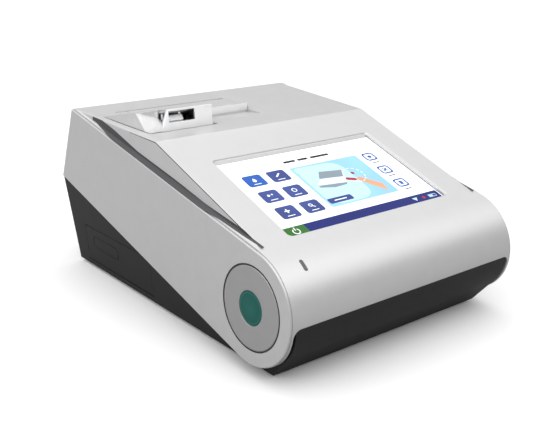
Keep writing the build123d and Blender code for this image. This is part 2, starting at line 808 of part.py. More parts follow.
with BuildPart() as left_trim_strip:
    with BuildSketch(Plane.YZ):
        add(trim_outline.sketch_local)
        offset(amount=-0.2, kind=Kind.INTERSECTION)
    extrude(amount=-reach)
    split(bisect_by=deck_wall_plane(-1, trim_depth - 0.1), keep=Keep.TOP)
    split(bisect_by=deck_wall_plane(-1, trim_recess), keep=Keep.BOTTOM)
left_trim_strip.part.label = "left_trim_strip"

with BuildPart() as right_trim_strip:
    mirror(left_trim_strip.part, about=Plane.YZ)
right_trim_strip.part.label = "right_trim_strip"

with BuildPart() as indicator_lens:
    with BuildSketch(Plane(origin=(indicator_x, *nose_point(indicator_angle, nose_radius - 3.2)),
                           x_dir=(1, 0, 0), z_dir=(0, -cos(radians(indicator_angle)),
                                                   sin(radians(indicator_angle))))):
        SlotOverall(indicator_length - 0.2, indicator_width - 0.2, rotation=90)
    extrude(amount=3.0)
indicator_lens.part.label = "indicator_lens"

# Screen stack
glass_size = (screen_width + 2 * glass_margin, screen_height + 2 * glass_margin)
lcd_size = (screen_width + 2 * lcd_margin, screen_height + 2 * lcd_margin - 2)
with BuildPart() as touch_glass:
    with BuildSketch(deck_plane(screen_y, screen_recess + glass_wall)):
        RectangleRounded(*glass_size, 2.7)
    extrude(amount=glass_wall)
    chamfer(touch_glass.faces().sort_by(Axis.Z)[-1].edges(), 0.2)
touch_glass.part.label = "touch_glass"

with BuildPart() as lcd_module:
    with BuildSketch(deck_plane(screen_y, screen_recess + glass_wall + lcd_depth)):
        Rectangle(*lcd_size)
    extrude(amount=lcd_depth)
    with BuildSketch(deck_plane(screen_y, screen_recess + glass_wall + lcd_depth)):
        with Locations((0, -lcd_size[1] / 4)):
            Rectangle(60, 26)
    extrude(amount=-1.2)
lcd_module.part.label = "lcd_module"

frame_back = screen_recess + glass_wall + lcd_depth + lcd_frame_back
with BuildPart() as lcd_frame:
    with BuildSketch(deck_plane(screen_y, frame_back)):
        RectangleRounded(lcd_size[0] + 2 * lcd_frame_rim, lcd_size[1] + 2 * lcd_frame_rim, 3.0)
    extrude(amount=frame_back - wall)
    with BuildSketch(deck_plane(screen_y, frame_back - lcd_frame_back)):
        Rectangle(lcd_size[0] + 0.4, lcd_size[1] + 0.4)
    extrude(amount=frame_back, mode=Mode.SUBTRACT)
    with BuildSketch(deck_plane(screen_y, frame_back + 1)):
        RectangleRounded(lcd_size[0] - 20, lcd_size[1] - 20, 6.0)
    extrude(amount=4, mode=Mode.SUBTRACT)
lcd_frame.part.label = "lcd_frame"

# Printer lid: skin with skirts, hollow below, barrel along the hinge
lid_low_z = deck_z(lid_front_y) - 3.2
roof_rise = (lid_peak_z - slot_top_z) / (slot_y - 1.0 - lid_front_y - lid_face_lean)
roof_meets_y = slot_y - 1.0 + (slot_top_z - deck_z(slot_y + 12)) / roof_rise


def roof_z(y):
    return slot_top_z + (slot_y - 1.0 - y) * roof_rise


lid_edge_y = slot_y + slot_width
lid_rear_low = (hinge_y, hinge_z - hinge_barrel_radius)
with BuildSketch(Plane.YZ) as lid_block_outline:
    with BuildLine():
        Polyline((lid_front_y, lid_low_z), (lid_front_y, deck_z(lid_front_y)),
                 (lid_front_y + lid_face_lean, lid_peak_z), (roof_meets_y, deck_z(roof_meets_y)),
                 (hinge_y, deck_z(hinge_y)), lid_rear_low, (hinge_y - 4, lid_low_z), close=True)
    make_face()

with BuildSketch(Plane.YZ) as lid_block_hollow_outline:
    add(lid_block_outline.sketch_local)
    offset(amount=-lid_wall, kind=Kind.INTERSECTION)
    with Locations(((lid_front_y + hinge_y) / 2 - 2, lid_low_z)):
        Rectangle(hinge_y - lid_front_y - 4 - 2 * lid_wall - 4, 2 * lid_wall + 1)

lid_slope_plane = Plane(origin=(lid_left, lid_front_y, deck_z(lid_front_y)), x_dir=(0, 1, 0),
                        z_dir=(-1, 0, lid_left_lean))
with BuildPart() as lid_hollow:
    extrude(Plane.YZ.offset(lid_left + lid_wall) * lid_block_hollow_outline.sketch_local,
            amount=lid_block_right - lid_left - 2 * lid_wall)
    split(bisect_by=lid_slope_plane.offset(-lid_wall), keep=Keep.BOTTOM)

with BuildPart() as lid_right_hollow:
    extrude(Plane.YZ.offset(lid_block_right - lid_wall - 1) * lid_block_hollow_outline.sketch_local,
            amount=lid_right - lid_block_right + 1)
    split(bisect_by=Plane.XZ.offset(-lid_edge_y - lid_wall), keep=Keep.BOTTOM)

with BuildPart() as lid_right_side:
    extrude(Plane.YZ.offset(lid_block_right - 0.1) * lid_block_outline.sketch_local,
            amount=lid_right - lid_block_right + 0.1)
    split(bisect_by=Plane.XZ.offset(-lid_edge_y), keep=Keep.BOTTOM)

ear_notches = [(x - seam, x + ear_width + seam) for x in ear_places]
platen_left = bay_left + 2.5
platen_right = bay_right - 2.4
lug_places = [bay_left + 0.5, bay_right - 2.0]
lug_width = 1.5
with BuildPart() as printer_cover:
    extrude(Plane.YZ.offset(lid_left) * lid_block_outline.sketch_local,
            amount=lid_block_right - lid_left)
    split(bisect_by=lid_slope_plane, keep=Keep.BOTTOM)
    add(lid_right_side.part)
    peak = printer_cover.edges().filter_by(lambda e: e.center().Z > lid_peak_z - 9
                                           and e.center().Y < slot_y - 8)
    fillet(peak, 0.8)
    add(lid_hollow.part, mode=Mode.SUBTRACT)
    add(lid_right_hollow.part, mode=Mode.SUBTRACT)
    # finger mouth in front, wedge at the left of the corner post
    with BuildSketch(Plane.XZ.offset(-lid_front_y + 1)):
        with Locations(((mouth_left + mouth_right) / 2, (mouth_low_z + mouth_high_z) / 2)):
            RectangleRounded(mouth_right - mouth_left, mouth_high_z - mouth_low_z, 0.8)
    extrude(amount=-lid_wall - lid_face_lean - 1.4, mode=Mode.SUBTRACT)
    with BuildSketch(Plane.YZ.offset(lid_left - 1)):
        with BuildLine():
            Polyline((lid_front_y + 3.1, mouth_low_z - 0.8), (lid_front_y + 13.8, mouth_low_z + 2.2),
                     (side_mouth_back_y, mouth_low_z + 3.2),
                     (lid_front_y + 3.1, mouth_high_z - 0.7), close=True)
        make_face()
    extrude(amount=mouth_left - lid_left + 0.9, mode=Mode.SUBTRACT)
    # barrel, ear notches and pin hole
    with BuildSketch(Plane.YZ.offset(lid_left)):
        with Locations((hinge_y, hinge_z)):
            Circle(hinge_barrel_radius)
    extrude(amount=lid_right - lid_left)
    for start, end in ear_notches:
        with BuildSketch(Plane.YZ.offset(start)):
            with Locations((hinge_y, hinge_z)):
                Rectangle(2 * hinge_barrel_radius + 1.0, 4 * hinge_barrel_radius)
        extrude(amount=end - start, mode=Mode.SUBTRACT)
    with BuildSketch(Plane.YZ.offset(lid_left + 3)):
        with Locations((hinge_y, hinge_z)):
            Circle(hinge_pin_radius + running_gap)
    extrude(amount=lid_right - lid_left - 6, mode=Mode.SUBTRACT)
    # lugs for the platen shaft and for the lever
    for x in lug_places:
        with BuildSketch(Plane.YZ.offset(x)):
            with Locations((platen_y, platen_z)):
                Circle(platen_shaft_radius + 2.0)
            with Locations((platen_y, (platen_z + deck_z(platen_y)) / 2)):
                Rectangle(2 * platen_shaft_radius + 4.0, deck_z(platen_y) - platen_z)
        extrude(amount=lug_width)
    with BuildSketch(Plane.YZ.offset(lug_places[0] + lug_width)):
        with Locations((platen_y, platen_z)):
            Circle(platen_radius + 0.6)
    extrude(amount=lug_places[1] - lug_places[0] - lug_width, mode=Mode.SUBTRACT)
    with BuildSketch(Plane.YZ.offset(lug_places[0] - 1)):
        with Locations((platen_y, platen_z)):
            Circle(platen_shaft_radius + running_gap)
    extrude(amount=lug_places[1] - lug_places[0] + lug_width + 2, mode=Mode.SUBTRACT)
    for x in (lever_left - seam - lug_wall, lever_right + seam):
        with BuildSketch(Plane.YZ.offset(x)):
            with Locations((lever_pivot_y, lever_pivot_z)):
                Circle(lever_boss_radius + 0.4)
            with Locations((lever_pivot_y, (lever_pivot_z + roof_z(lever_pivot_y) - 1) / 2)):
                Rectangle(2 * lever_boss_radius + 0.8, roof_z(lever_pivot_y) - 1 - lever_pivot_z)
        extrude(amount=lug_wall)
    with BuildSketch(Plane.YZ.offset(lever_left - seam - lug_wall - 0.5)):
        with Locations((lever_pivot_y, lever_pivot_z)):
            Circle(lever_pin_radius + running_gap)
    extrude(amount=lever_right - lever_left + 2 * seam + 2 * lug_wall + 1, mode=Mode.SUBTRACT)
printer_cover.part.label = "printer_cover"

with BuildPart() as hinge_pin:
    with BuildSketch(Plane.YZ.offset(lid_left + 3.2)):
        with Locations((hinge_y, hinge_z)):
            Circle(hinge_pin_radius)
    extrude(amount=lid_right - lid_left - 6.4)
hinge_pin.part.label = "hinge_pin"

hook_middle = (lever_left + lever_right) / 2
with BuildPart() as release_lever:
    with BuildSketch(Plane.YZ.offset(lever_left)):
        with Locations((lever_pivot_y, lever_pivot_z)):
            Circle(lever_boss_radius)
        with BuildLine():
            Line((lever_pivot_y - 1.4, lever_pivot_z - 2.0), (lever_pivot_y - 9.0, lever_pivot_z - 2.4))
            ThreePointArc((lever_pivot_y - 9.0, lever_pivot_z - 2.4),
                          (lever_pivot_y - 10.0, lever_pivot_z + 3.0),
                          (lever_pivot_y - 6.0, lever_pivot_z + 5.2))
            Line((lever_pivot_y - 6.0, lever_pivot_z + 5.2), (lever_pivot_y + 0.6, lever_pivot_z + 2.3))
            Line((lever_pivot_y + 0.6, lever_pivot_z + 2.3), (lever_pivot_y - 1.4, lever_pivot_z - 2.0))
        make_face()
    extrude(amount=lever_right - lever_left)
    with BuildSketch(Plane.YZ.offset(hook_middle - 2.5)):
        with BuildLine():
            Polyline((lever_pivot_y - 2.0, lever_pivot_z), (lever_pivot_y + 2.0, lever_pivot_z),
                     (lever_pivot_y - 0.5, lid_low_z - 1.8), (lid_front_y + 1.2, lid_low_z - 2.2),
                     (lid_front_y + 0.5, lid_low_z - 0.4), (lever_pivot_y - 3.4, lid_low_z + 0.4),
                     close=True)
        make_face()
    extrude(amount=5.0)
    with BuildSketch(Plane.YZ.offset(lever_left - seam - lug_wall + 0.2)):
        with Locations((lever_pivot_y, lever_pivot_z)):
            Circle(lever_pin_radius)
    extrude(amount=lever_right - lever_left + 2 * seam + 2 * lug_wall - 0.4)
release_lever.part.label = "release_lever"

# Tear bar: thin toothed strip on the front edge of the lid
tear_count = 54
tear_left = lip_left
tear_pitch = (lip_right - lip_left) / tear_count
tear_low_z = roof_z(lid_edge_y) - 3.0
tear_points = [(tear_left, tear_low_z)]
for index in range(tear_count):
    tear_points.append((tear_left + index * tear_pitch, roof_z(lid_edge_y) - 0.6))
    tear_points.append((tear_left + (index + 0.5) * tear_pitch, roof_z(lid_edge_y) + 0.2))
tear_points.append((lip_right, roof_z(lid_edge_y) - 0.6))
tear_points.append((lip_right, tear_low_z))
with BuildPart() as tear_bar:
    with BuildSketch(Plane.XZ.offset(-lid_edge_y)):
        with BuildLine():
            Polyline(tear_points, close=True)
        make_face()
    extrude(amount=0.5)
tear_bar.part.label = "tear_bar"

# Paper path: tub, roll on its core, platen and gears
pitch_radius = {teeth: gear_module * teeth / 2 for teeth in (platen_teeth, idler_teeth, pinion_teeth)}
gear_run = (-cos(radians(gear_line_angle)), -sin(radians(gear_line_angle)))
idler_reach = pitch_radius[platen_teeth] + pitch_radius[idler_teeth]
idler_place = (platen_y + idler_reach * gear_run[0], platen_z + idler_reach * gear_run[1])
motor_reach = idler_reach + pitch_radius[idler_teeth] + pitch_radius[pinion_teeth]
motor_place = (platen_y + motor_reach * gear_run[0], platen_z + motor_reach * gear_run[1])


def gear_points(teeth, first_angle, place):
    """Outline of a spur gear whose first tooth points at the given angle."""
    pressure = radians(20)
    pitch = gear_module * teeth / 2
    base = pitch * cos(pressure)
    root = pitch - 1.25 * gear_module
    tip = pitch + gear_module * 0.95
    low = max(base, root)
    points = []
    for tooth in range(teeth):
        middle = radians(first_angle) + 2 * pi * tooth / teeth
        half = pi / (2 * teeth) + tan(pressure) - pressure - gear_backlash / pitch
        flank = []
        for step in range(4):
            radius = low + (tip - low) * step / 3
            roll = acos(min(1.0, base / radius))
            flank.append((radius, half - (tan(roll) - roll)))
        outline = [(root, -flank[0][1])] + [(radius, -spread) for radius, spread in flank]
        outline += [(radius, spread) for radius, spread in reversed(flank)] + [(root, flank[0][1])]
        if root >= base:
            outline = outline[1:-1]
        for radius, spread in outline:
            points.append((place[0] + radius * cos(middle + spread),
                           place[1] + radius * sin(middle + spread)))
    return points


inner_tub = roll_radius + roll_gap
tub_rear_z = roll_z + 18.0
with BuildSketch(Plane.YZ) as tub_outline:
    with Locations((roll_y, roll_z)):
        Circle(inner_tub + tub_wall)
    with Locations((roll_y, (roll_z + tub_rear_z) / 2)):
        Rectangle(2 * (inner_tub + tub_wall), tub_rear_z - roll_z)
    with Locations((roll_y, tub_rear_z)):
        Rectangle(4 * inner_tub, inner_tub, align=(Align.CENTER, Align.MIN), mode=Mode.SUBTRACT)

with BuildSketch(Plane.YZ) as tub_hollow_outline:
    with Locations((roll_y, roll_z)):
        Circle(inner_tub)
    with Locations((roll_y, roll_z + 15)):
        Rectangle(2 * inner_tub, 30)

with BuildPart() as paper_tub:
    extrude(Plane.YZ.offset(bay_left - tub_wall) * tub_outline.sketch_local,
            amount=bay_right - bay_left + 2 * tub_wall)
    extrude(Plane.YZ.offset(bay_left) * tub_hollow_outline.sketch_local,
            amount=bay_right - bay_left, mode=Mode.SUBTRACT)
    with BuildSketch(Plane.YZ.offset(bay_left - tub_wall - 1)):
        with BuildLine():
            Polyline((roll_y - 30, platen_z - 7.0), (platen_y + 7.5, platen_z - 7.0),
                     (platen_y + 11.5, platen_z + 3), (roll_y - 30, platen_z + 3), close=True)
        make_face()
    extrude(amount=bay_right - bay_left + 2 * tub_wall + 2, mode=Mode.SUBTRACT)
paper_tub.part.label = "paper_tub"

with BuildPart() as paper_roll:
    with BuildSketch(Plane.YZ.offset(roll_x - roll_width / 2)):
        with Locations((roll_y, roll_z)):
            Circle(roll_radius)
            Circle(roll_core_radius + running_gap, mode=Mode.SUBTRACT)
    extrude(amount=roll_width)
paper_roll.part.label = "paper_roll"

with BuildPart() as paper_core:
    with BuildSketch(Plane.YZ.offset(roll_x - roll_width / 2 - 0.3)):
        with Locations((roll_y, roll_z)):
            Circle(roll_core_radius)
            Circle(roll_core_radius - 1.5, mode=Mode.SUBTRACT)
    extrude(amount=roll_width + 0.6)
paper_core.part.label = "paper_core"

with BuildPart() as platen_rubber:
    with BuildSketch(Plane.YZ.offset(platen_left)):
        with Locations((platen_y, platen_z)):
            Circle(platen_radius)
            Circle(platen_shaft_radius + 0.02, mode=Mode.SUBTRACT)
    extrude(amount=platen_right - platen_left)
platen_rubber.part.label = "platen_rubber"

with BuildPart() as platen_shaft:
    with BuildSketch(Plane.YZ.offset(gear_left - 0.6)):
        with Locations((platen_y, platen_z)):
            Circle(platen_shaft_radius)
    extrude(amount=bay_right + 0.6 - gear_left)
platen_shaft.part.label = "platen_shaft"

toward_idler = degrees(atan2(gear_run[1], gear_run[0]))
with BuildPart() as platen_gear:
    with BuildSketch(Plane.YZ.offset(gear_left)):
        with BuildLine():
            Polyline(gear_points(platen_teeth, toward_idler, (platen_y, platen_z)), close=True)
        make_face()
        with Locations((platen_y, platen_z)):
            Circle(platen_shaft_radius + 0.02, mode=Mode.SUBTRACT)
    extrude(amount=gear_face)
platen_gear.part.label = "platen_gear"

with BuildPart() as idler_gear:
    with BuildSketch(Plane.YZ.offset(gear_left)):
        with BuildLine():
            Polyline(gear_points(idler_teeth, toward_idler + 180.0 / idler_teeth, idler_place),
                     close=True)
        make_face()
        with Locations(idler_place):
            Circle(idler_stub_radius + running_gap, mode=Mode.SUBTRACT)
    extrude(amount=gear_face)
    with BuildSketch(Plane.YZ.offset(gear_left - 0.1)):
        with Locations(idler_place):
            Circle(pitch_radius[idler_teeth] - 2.4)
            Circle(idler_stub_radius + 1.6, mode=Mode.SUBTRACT)
    extrude(amount=1.1, mode=Mode.SUBTRACT)
idler_gear.part.label = "idler_gear"

with BuildPart() as motor_pinion:
    with BuildSketch(Plane.YZ.offset(gear_left)):
        with BuildLine():
            Polyline(gear_points(pinion_teeth, toward_idler + 180.0, motor_place), close=True)
        make_face()
        with Locations(motor_place):
            Circle(motor_shaft_radius + 0.02, mode=Mode.SUBTRACT)
    extrude(amount=gear_face)
motor_pinion.part.label = "motor_pinion"

with BuildPart() as motor_shaft:
    with BuildSketch(Plane.YZ.offset(gear_left - 0.4)):
        with Locations(motor_place):
            Circle(motor_shaft_radius)
    extrude(amount=chassis_left + chassis_wall + 3.0 - gear_left)
motor_shaft.part.label = "motor_shaft"

motor_face_x = chassis_left + chassis_wall + seat_gap
with BuildPart() as printer_motor:
    with BuildSketch(Plane.YZ.offset(motor_face_x)):
        with Locations(motor_place):
            Circle(motor_radius)
    extrude(amount=motor_length)
    fillet(printer_motor.edges().filter_by(GeomType.CIRCLE), 0.6)
    with BuildSketch(Plane.YZ.offset(motor_face_x)):
        with Locations(motor_place):
            Circle(motor_shaft_radius + running_gap)
    extrude(amount=4.0, mode=Mode.SUBTRACT)
printer_motor.part.label = "printer_motor"

chassis_low_z = roll_z - inner_tub - tub_wall - seam - chassis_wall
chassis_rear_y = lid_opening_rear + 6.5
chassis_top_z = deck_z(lid_opening_rear) - wall - 2 * seam
chassis_front_y = motor_place[0] - motor_radius - 1.5
with BuildPart() as printer_chassis:
    for x in (chassis_left, chassis_right):
        with BuildSketch(Plane.YZ.offset(x)):
            with BuildLine():
                Polyline((chassis_front_y, chassis_low_z), (chassis_rear_y, chassis_low_z),
                         (chassis_rear_y, chassis_top_z), (lid_opening_rear + 1, chassis_top_z),
                         (lid_opening_rear + 1, platen_z), (platen_y + 7, platen_z),
                         (platen_y + 6, platen_z + 1.5), (platen_y - 6, platen_z + 1.5),
                         (platen_y - 8, platen_z - 4.0),
                         (chassis_front_y, motor_place[1] + motor_radius), close=True)
            make_face()
        extrude(amount=chassis_wall)
        with BuildSketch(Plane.YZ.offset(x - 1)):
            with Locations((platen_y, platen_z)):
                Circle(platen_shaft_radius + 0.4)
            with Locations((platen_y, platen_z + 3)):
                Rectangle(2 * platen_shaft_radius + 0.8, 6)
        extrude(amount=chassis_wall + 2, mode=Mode.SUBTRACT)
    with BuildSketch(Plane.XY.offset(chassis_low_z)):
        with Locations((chassis_left, chassis_front_y)):
            Rectangle(chassis_right + chassis_wall - chassis_left, chassis_rear_y - chassis_front_y,
                      align=(Align.MIN, Align.MIN))
    extrude(amount=chassis_wall)
    with BuildSketch(Plane.YZ.offset(chassis_left - 1)):
        with Locations(motor_place):
            Circle(motor_shaft_radius + 0.4)
    extrude(amount=chassis_wall + 2, mode=Mode.SUBTRACT)
    with BuildSketch(Plane.YZ.offset(gear_left - 0.4)):
        with Locations(idler_place):
            Circle(idler_stub_radius)
    extrude(amount=chassis_left + 0.8 - gear_left)
    with BuildSketch(Plane.XY.offset(chassis_low_z - 1)):
        with GridLocations(24, 16, 2, 3):
            with Locations(((chassis_left + chassis_right) / 2, roll_y)):
                SlotOverall(16, 6)
    extrude(amount=chassis_wall + 2, mode=Mode.SUBTRACT)
printer_chassis.part.label = "printer_chassis"

head_face_y = platen_y - platen_radius - head_gap
with BuildPart() as thermal_head:
    with BuildSketch(Plane.XY.offset(head_top_z - head_height)):
        with Locations((chassis_left + chassis_wall + seat_gap, head_face_y - head_wall)):
            Rectangle(chassis_right - chassis_left - chassis_wall - 2 * seat_gap, head_wall,
                      align=(Align.MIN, Align.MIN))
    extrude(amount=head_height)
    with BuildSketch(Plane.XY.offset(head_top_z - head_height + 1)):
        with Locations(((chassis_left + chassis_right) / 2, head_face_y - head_wall)):
            Rectangle(40, 0.8, align=(Align.CENTER, Align.MAX))
    extrude(amount=5)
    chamfer(thermal_head.edges().filter_by(Axis.X).group_by(Axis.Z)[-1].sort_by(Axis.Y)[-1], 0.7)
thermal_head.part.label = "thermal_head"

# Left pack bay: door, housing, calibrant pack
with BuildPart() as pack_door:
    with BuildSketch(door_face):
        with Locations((door_local.X, door_local.Y - door_wall / 4)):
            Rectangle(door_length, door_high_z - door_low_z - door_wall / 2)
    extrude(amount=door_wall / 2, both=True)
    fillet(pack_door.edges().filter_by(lambda e: abs(e.length - door_wall) < 0.1
                                       and e.center().Z > door_high_z - 3), 2.7)
    with BuildSketch(door_axis_plane):
        Circle(door_wall / 2)
    extrude(amount=door_length / 2, both=True)
    with BuildSketch(door_axis_plane):
        Circle(door_pin_radius)
    extrude(amount=door_length / 2 + door_pin_reach, both=True)
    with BuildSketch(door_face.offset(door_wall / 2)):
        with Locations((door_local.X + 20, door_local.Y - 4)):
            RectangleRounded(44, 11, 4.0)
            RectangleRounded(42.6, 9.6, 3.3, mode=Mode.SUBTRACT)
    extrude(amount=-grip_depth, mode=Mode.SUBTRACT)
pack_door.part.label = "pack_door"

pack_middle_y = (door_front_y + door_rear_y) / 2 - 1.0
housing_outer_x = -base_nose_half_width + wall + 2.0
housing_width = pack_inner_x - housing_outer_x
with BuildPart() as pack_housing:
    with BuildSketch(Plane.XY.offset(seat_z)):
        with Locations((housing_outer_x + 1.6, pack_middle_y)):
            Rectangle(housing_width + 1.0, pack_length + 4.0, align=(Align.MIN, Align.CENTER))
    extrude(amount=pack_height + 3.6)
    with BuildSketch(Plane.XY.offset(seat_z + 1.6)):
        with Locations((housing_outer_x - 5, pack_middle_y)):
            Rectangle(housing_width + 5.8, pack_length + 0.8, align=(Align.MIN, Align.CENTER))
    extrude(amount=pack_height + 0.4, mode=Mode.SUBTRACT)
    with BuildSketch(Plane.XY.offset(seat_z + pack_height)):
        with GridLocations(0, 24, 1, 4):
            with Locations((housing_outer_x + housing_width / 2 + 1.6, pack_middle_y)):
                SlotOverall(28, 10)
    extrude(amount=6, mode=Mode.SUBTRACT)
pack_housing.part.label = "pack_housing"

with BuildPart() as calibrant_pack:
    with BuildSketch(Plane.XY.offset(seat_z + 1.8)):
        with Locations((housing_outer_x + 2.4, pack_middle_y)):
            RectangleRounded(housing_width - 2.0, pack_length, 2.5, align=(Align.MIN, Align.CENTER))
    extrude(amount=pack_height - 0.4)
    fillet(calibrant_pack.edges().group_by(Axis.Z)[-1], 1.0)
    with BuildSketch(Plane.XY.offset(seat_z + pack_height + 1.4)):
        with GridLocations(0, 22, 1, 4):
            with Locations((housing_outer_x + housing_width / 2 + 1.6, pack_middle_y)):
                RectangleRounded(22, 14, 3)
    extrude(amount=-1.2, mode=Mode.SUBTRACT)
calibrant_pack.part.label = "calibrant_pack"

# Cartridge side at the right
guide_base_x = guide_outer_x - 6.0
guide_low_z = cartridge_slot_z - cartridge_slot_height / 2 - guide_floor
guide_high_z = cartridge_slot_z + cartridge_slot_height / 2 + guide_wall
with BuildPart() as cartridge_guide:
    with BuildSketch(Plane.XY.offset(guide_low_z)):
        with Locations((guide_inner_x, cartridge_y)):
            Rectangle(guide_outer_x - guide_inner_x, cartridge_width + 2 * guide_wall + 0.6,
                      align=(Align.MIN, Align.CENTER))
    extrude(amount=guide_high_z - guide_low_z)
    with BuildSketch(Plane.YZ.offset(guide_inner_x + 3.0)):
        with Locations((cartridge_y, cartridge_slot_z)):
            Rectangle(cartridge_width + 0.6, cartridge_slot_height)
    extrude(amount=reach, mode=Mode.SUBTRACT)
    for x in (guide_inner_x, guide_base_x - 6.0):
        with BuildSketch(Plane.XY.offset(seat_z)):
            with Locations((x, cartridge_y)):
                Rectangle(6.0, cartridge_width - 6, align=(Align.MIN, Align.CENTER))
        extrude(amount=guide_low_z - seat_z + 0.2)
    with BuildSketch(Plane.XY.offset(guide_high_z)):
        with Locations(((guide_inner_x + guide_outer_x) / 2 + 4, cartridge_y)):
            RectangleRounded(30, 34, 4)
    extrude(amount=-guide_wall - 0.5, mode=Mode.SUBTRACT)
    with BuildSketch(Plane.XY.offset(guide_low_z + guide_floor)):
        with Locations(((guide_inner_x + guide_outer_x) / 2, cartridge_y)):
            Rectangle(heater_length + 0.4, heater_width + 0.4)
    extrude(amount=-heater_wall, mode=Mode.SUBTRACT)
cartridge_guide.part.label = "cartridge_guide"

with BuildPart() as heater_plate:
    with BuildSketch(Plane.XY.offset(guide_low_z + guide_floor - heater_wall)):
        with Locations(((guide_inner_x + guide_outer_x) / 2, cartridge_y)):
            Rectangle(heater_length, heater_width)
    extrude(amount=heater_wall - 0.1)
heater_plate.part.label = "heater_plate"

with BuildPart() as contact_block:
    with BuildSketch(Plane.YZ.offset(guide_inner_x + 3.1)):
        with Locations((cartridge_y, cartridge_slot_z)):
            Rectangle(36, cartridge_slot_height - 0.6)
    extrude(amount=4.5)
    with BuildSketch(Plane.XY.offset(cartridge_slot_z + cartridge_slot_height / 2 - 0.3)):
        with Locations((guide_inner_x + 6.6, cartridge_y)):
            with GridLocations(0, 2.5, 1, 12):
                Rectangle(2.2, 1.2)
    extrude(amount=-2.2, mode=Mode.SUBTRACT)
contact_block.part.label = "contact_block"

# Peristaltic pump in the middle of the tray
with BuildPart() as pump_motor:
    with BuildSketch(Plane.XY.offset(seat_z)):
        with Locations((pump_x, pump_y)):
            Circle(pump_motor_radius)
    extrude(amount=pump_motor_height)
    fillet(pump_motor.edges().filter_by(GeomType.CIRCLE), 0.8)
    with BuildSketch(Plane.XY.offset(seat_z + pump_motor_height)):
        with Locations((pump_x, pump_y)):
            Circle(pump_shaft_radius + running_gap)
    extrude(amount=-5.0, mode=Mode.SUBTRACT)
pump_motor.part.label = "pump_motor"

pump_low_z = seat_z + pump_motor_height + seat_gap
with BuildPart() as pump_body:
    with BuildSketch(Plane.XY.offset(pump_low_z)):
        with Locations((pump_x, pump_y)):
            RectangleRounded(2 * pump_radius + 8, 2 * pump_radius + 8, 6)
    extrude(amount=pump_height)
    with BuildSketch(Plane.XY.offset(pump_low_z + 2.0)):
        with Locations((pump_x, pump_y)):
            Circle(pump_radius + 2.4)
        with Locations((pump_x, pump_y + pump_radius)):
            Rectangle(2 * pump_radius - 6, 14)
    extrude(amount=pump_height, mode=Mode.SUBTRACT)
    with BuildSketch(Plane.XY.offset(pump_low_z - 1)):
        with Locations((pump_x, pump_y)):
            Circle(pump_shaft_radius + running_gap)
    extrude(amount=5, mode=Mode.SUBTRACT)
pump_body.part.label = "pump_body"

with BuildPart() as pump_rotor:
    with BuildSketch(Plane.XY.offset(pump_low_z + 2.4)):
        with Locations((pump_x, pump_y)):
            Circle(pump_radius - 4.0)
    extrude(amount=1.6)
    with BuildSketch(Plane.XY.offset(pump_low_z + 2.4)):
        with Locations((pump_x, pump_y)):
            with PolarLocations(pump_radius - 4.5, 3):
                Circle(4.0)
    extrude(amount=pump_height - 4.0)
    with BuildSketch(Plane.XY.offset(pump_low_z + pump_height - 3.4)):
        with Locations((pump_x, pump_y)):
            Circle(pump_radius - 4.0)
    extrude(amount=1.6)
    with BuildSketch(Plane.XY.offset(pump_low_z - 3.5)):
        with Locations((pump_x, pump_y)):
            Circle(pump_shaft_radius)
    extrude(amount=pump_height + 1.0)
pump_rotor.part.label = "pump_rotor"

# Barcode scanner behind its window
with BuildPart() as scanner_window:
    with BuildSketch(Plane.YZ):
        with Locations((scanner_y, scanner_z)):
            RectangleRounded(scanner_width, scanner_height, 2.0)
    extrude(amount=reach)
    split(bisect_by=base_side_plane(1, 0.6), keep=Keep.BOTTOM)
    split(bisect_by=base_side_plane(1, 2.4), keep=Keep.TOP)
scanner_window.part.label = "scanner_window"

with BuildPart() as scanner_module:
    with BuildSketch(Plane.XY.offset(seat_z)):
        with Locations((scanner_module_x, scanner_y)):
            Rectangle(28, scanner_width + 6, align=(Align.MIN, Align.CENTER))
    extrude(amount=scanner_z + scanner_height / 2 + 3 - seat_z)
    with BuildSketch(Plane.YZ.offset(scanner_module_x + 28)):
        with Locations((scanner_y, scanner_z)):
            RectangleRounded(scanner_width - 4, scanner_height - 4, 1.5)
    extrude(amount=-16, mode=Mode.SUBTRACT)
    with BuildSketch(Plane.YZ.offset(scanner_module_x + 12)):
        with Locations((scanner_y - 5, scanner_z)):
            Circle(4.2)
        with Locations((scanner_y + 8, scanner_z)):
            Rectangle(5, 8)
    extrude(amount=6)
scanner_module.part.label = "scanner_module"

# Board, ports, battery
with BuildPart() as main_board:
    with BuildSketch(Plane.XY.offset(board_z)):
        with Locations((0, (board_front_y + board_rear_y) / 2)):
            Rectangle(2 * board_half_width, board_rear_y - board_front_y)
        with Locations(*board_hole_places):
            Circle(board_screw_radius + 0.2, mode=Mode.SUBTRACT)
    extrude(amount=board_wall)
    with BuildSketch(Plane.XY.offset(board_z + board_wall)):
        with Locations((-18, 84)):
            Rectangle(24, 24)
        with Locations((20, 96), (20, 76)):
            Rectangle(16, 11)
        with GridLocations(16, 0, 5, 1):
            with Locations((-6, 54)):
                Rectangle(10, 7)
    extrude(amount=1.8)
    with BuildSketch(Plane.XY.offset(board_z + board_wall)):
        with Locations((44, 112), (44, 98)):
            Circle(4.5)
    extrude(amount=9)
main_board.part.label = "main_board"

with BuildPart() as board_screws:
    with BuildSketch(Plane.XY.offset(board_z + board_wall)):
        with Locations(*board_hole_places):
            Circle(board_screw_radius + 1.3)
    extrude(amount=1.8)
    with BuildSketch(Plane.XY.offset(board_z + board_wall)):
        with Locations(*board_hole_places):
            Circle(board_screw_radius)
    extrude(amount=-9.0)
board_screws.part.label = "board_screws"


def port_front(z):
    """Outer end of a rear port, a little behind the sloping wall's face."""
    return rear_wall_y(z) - port_reach


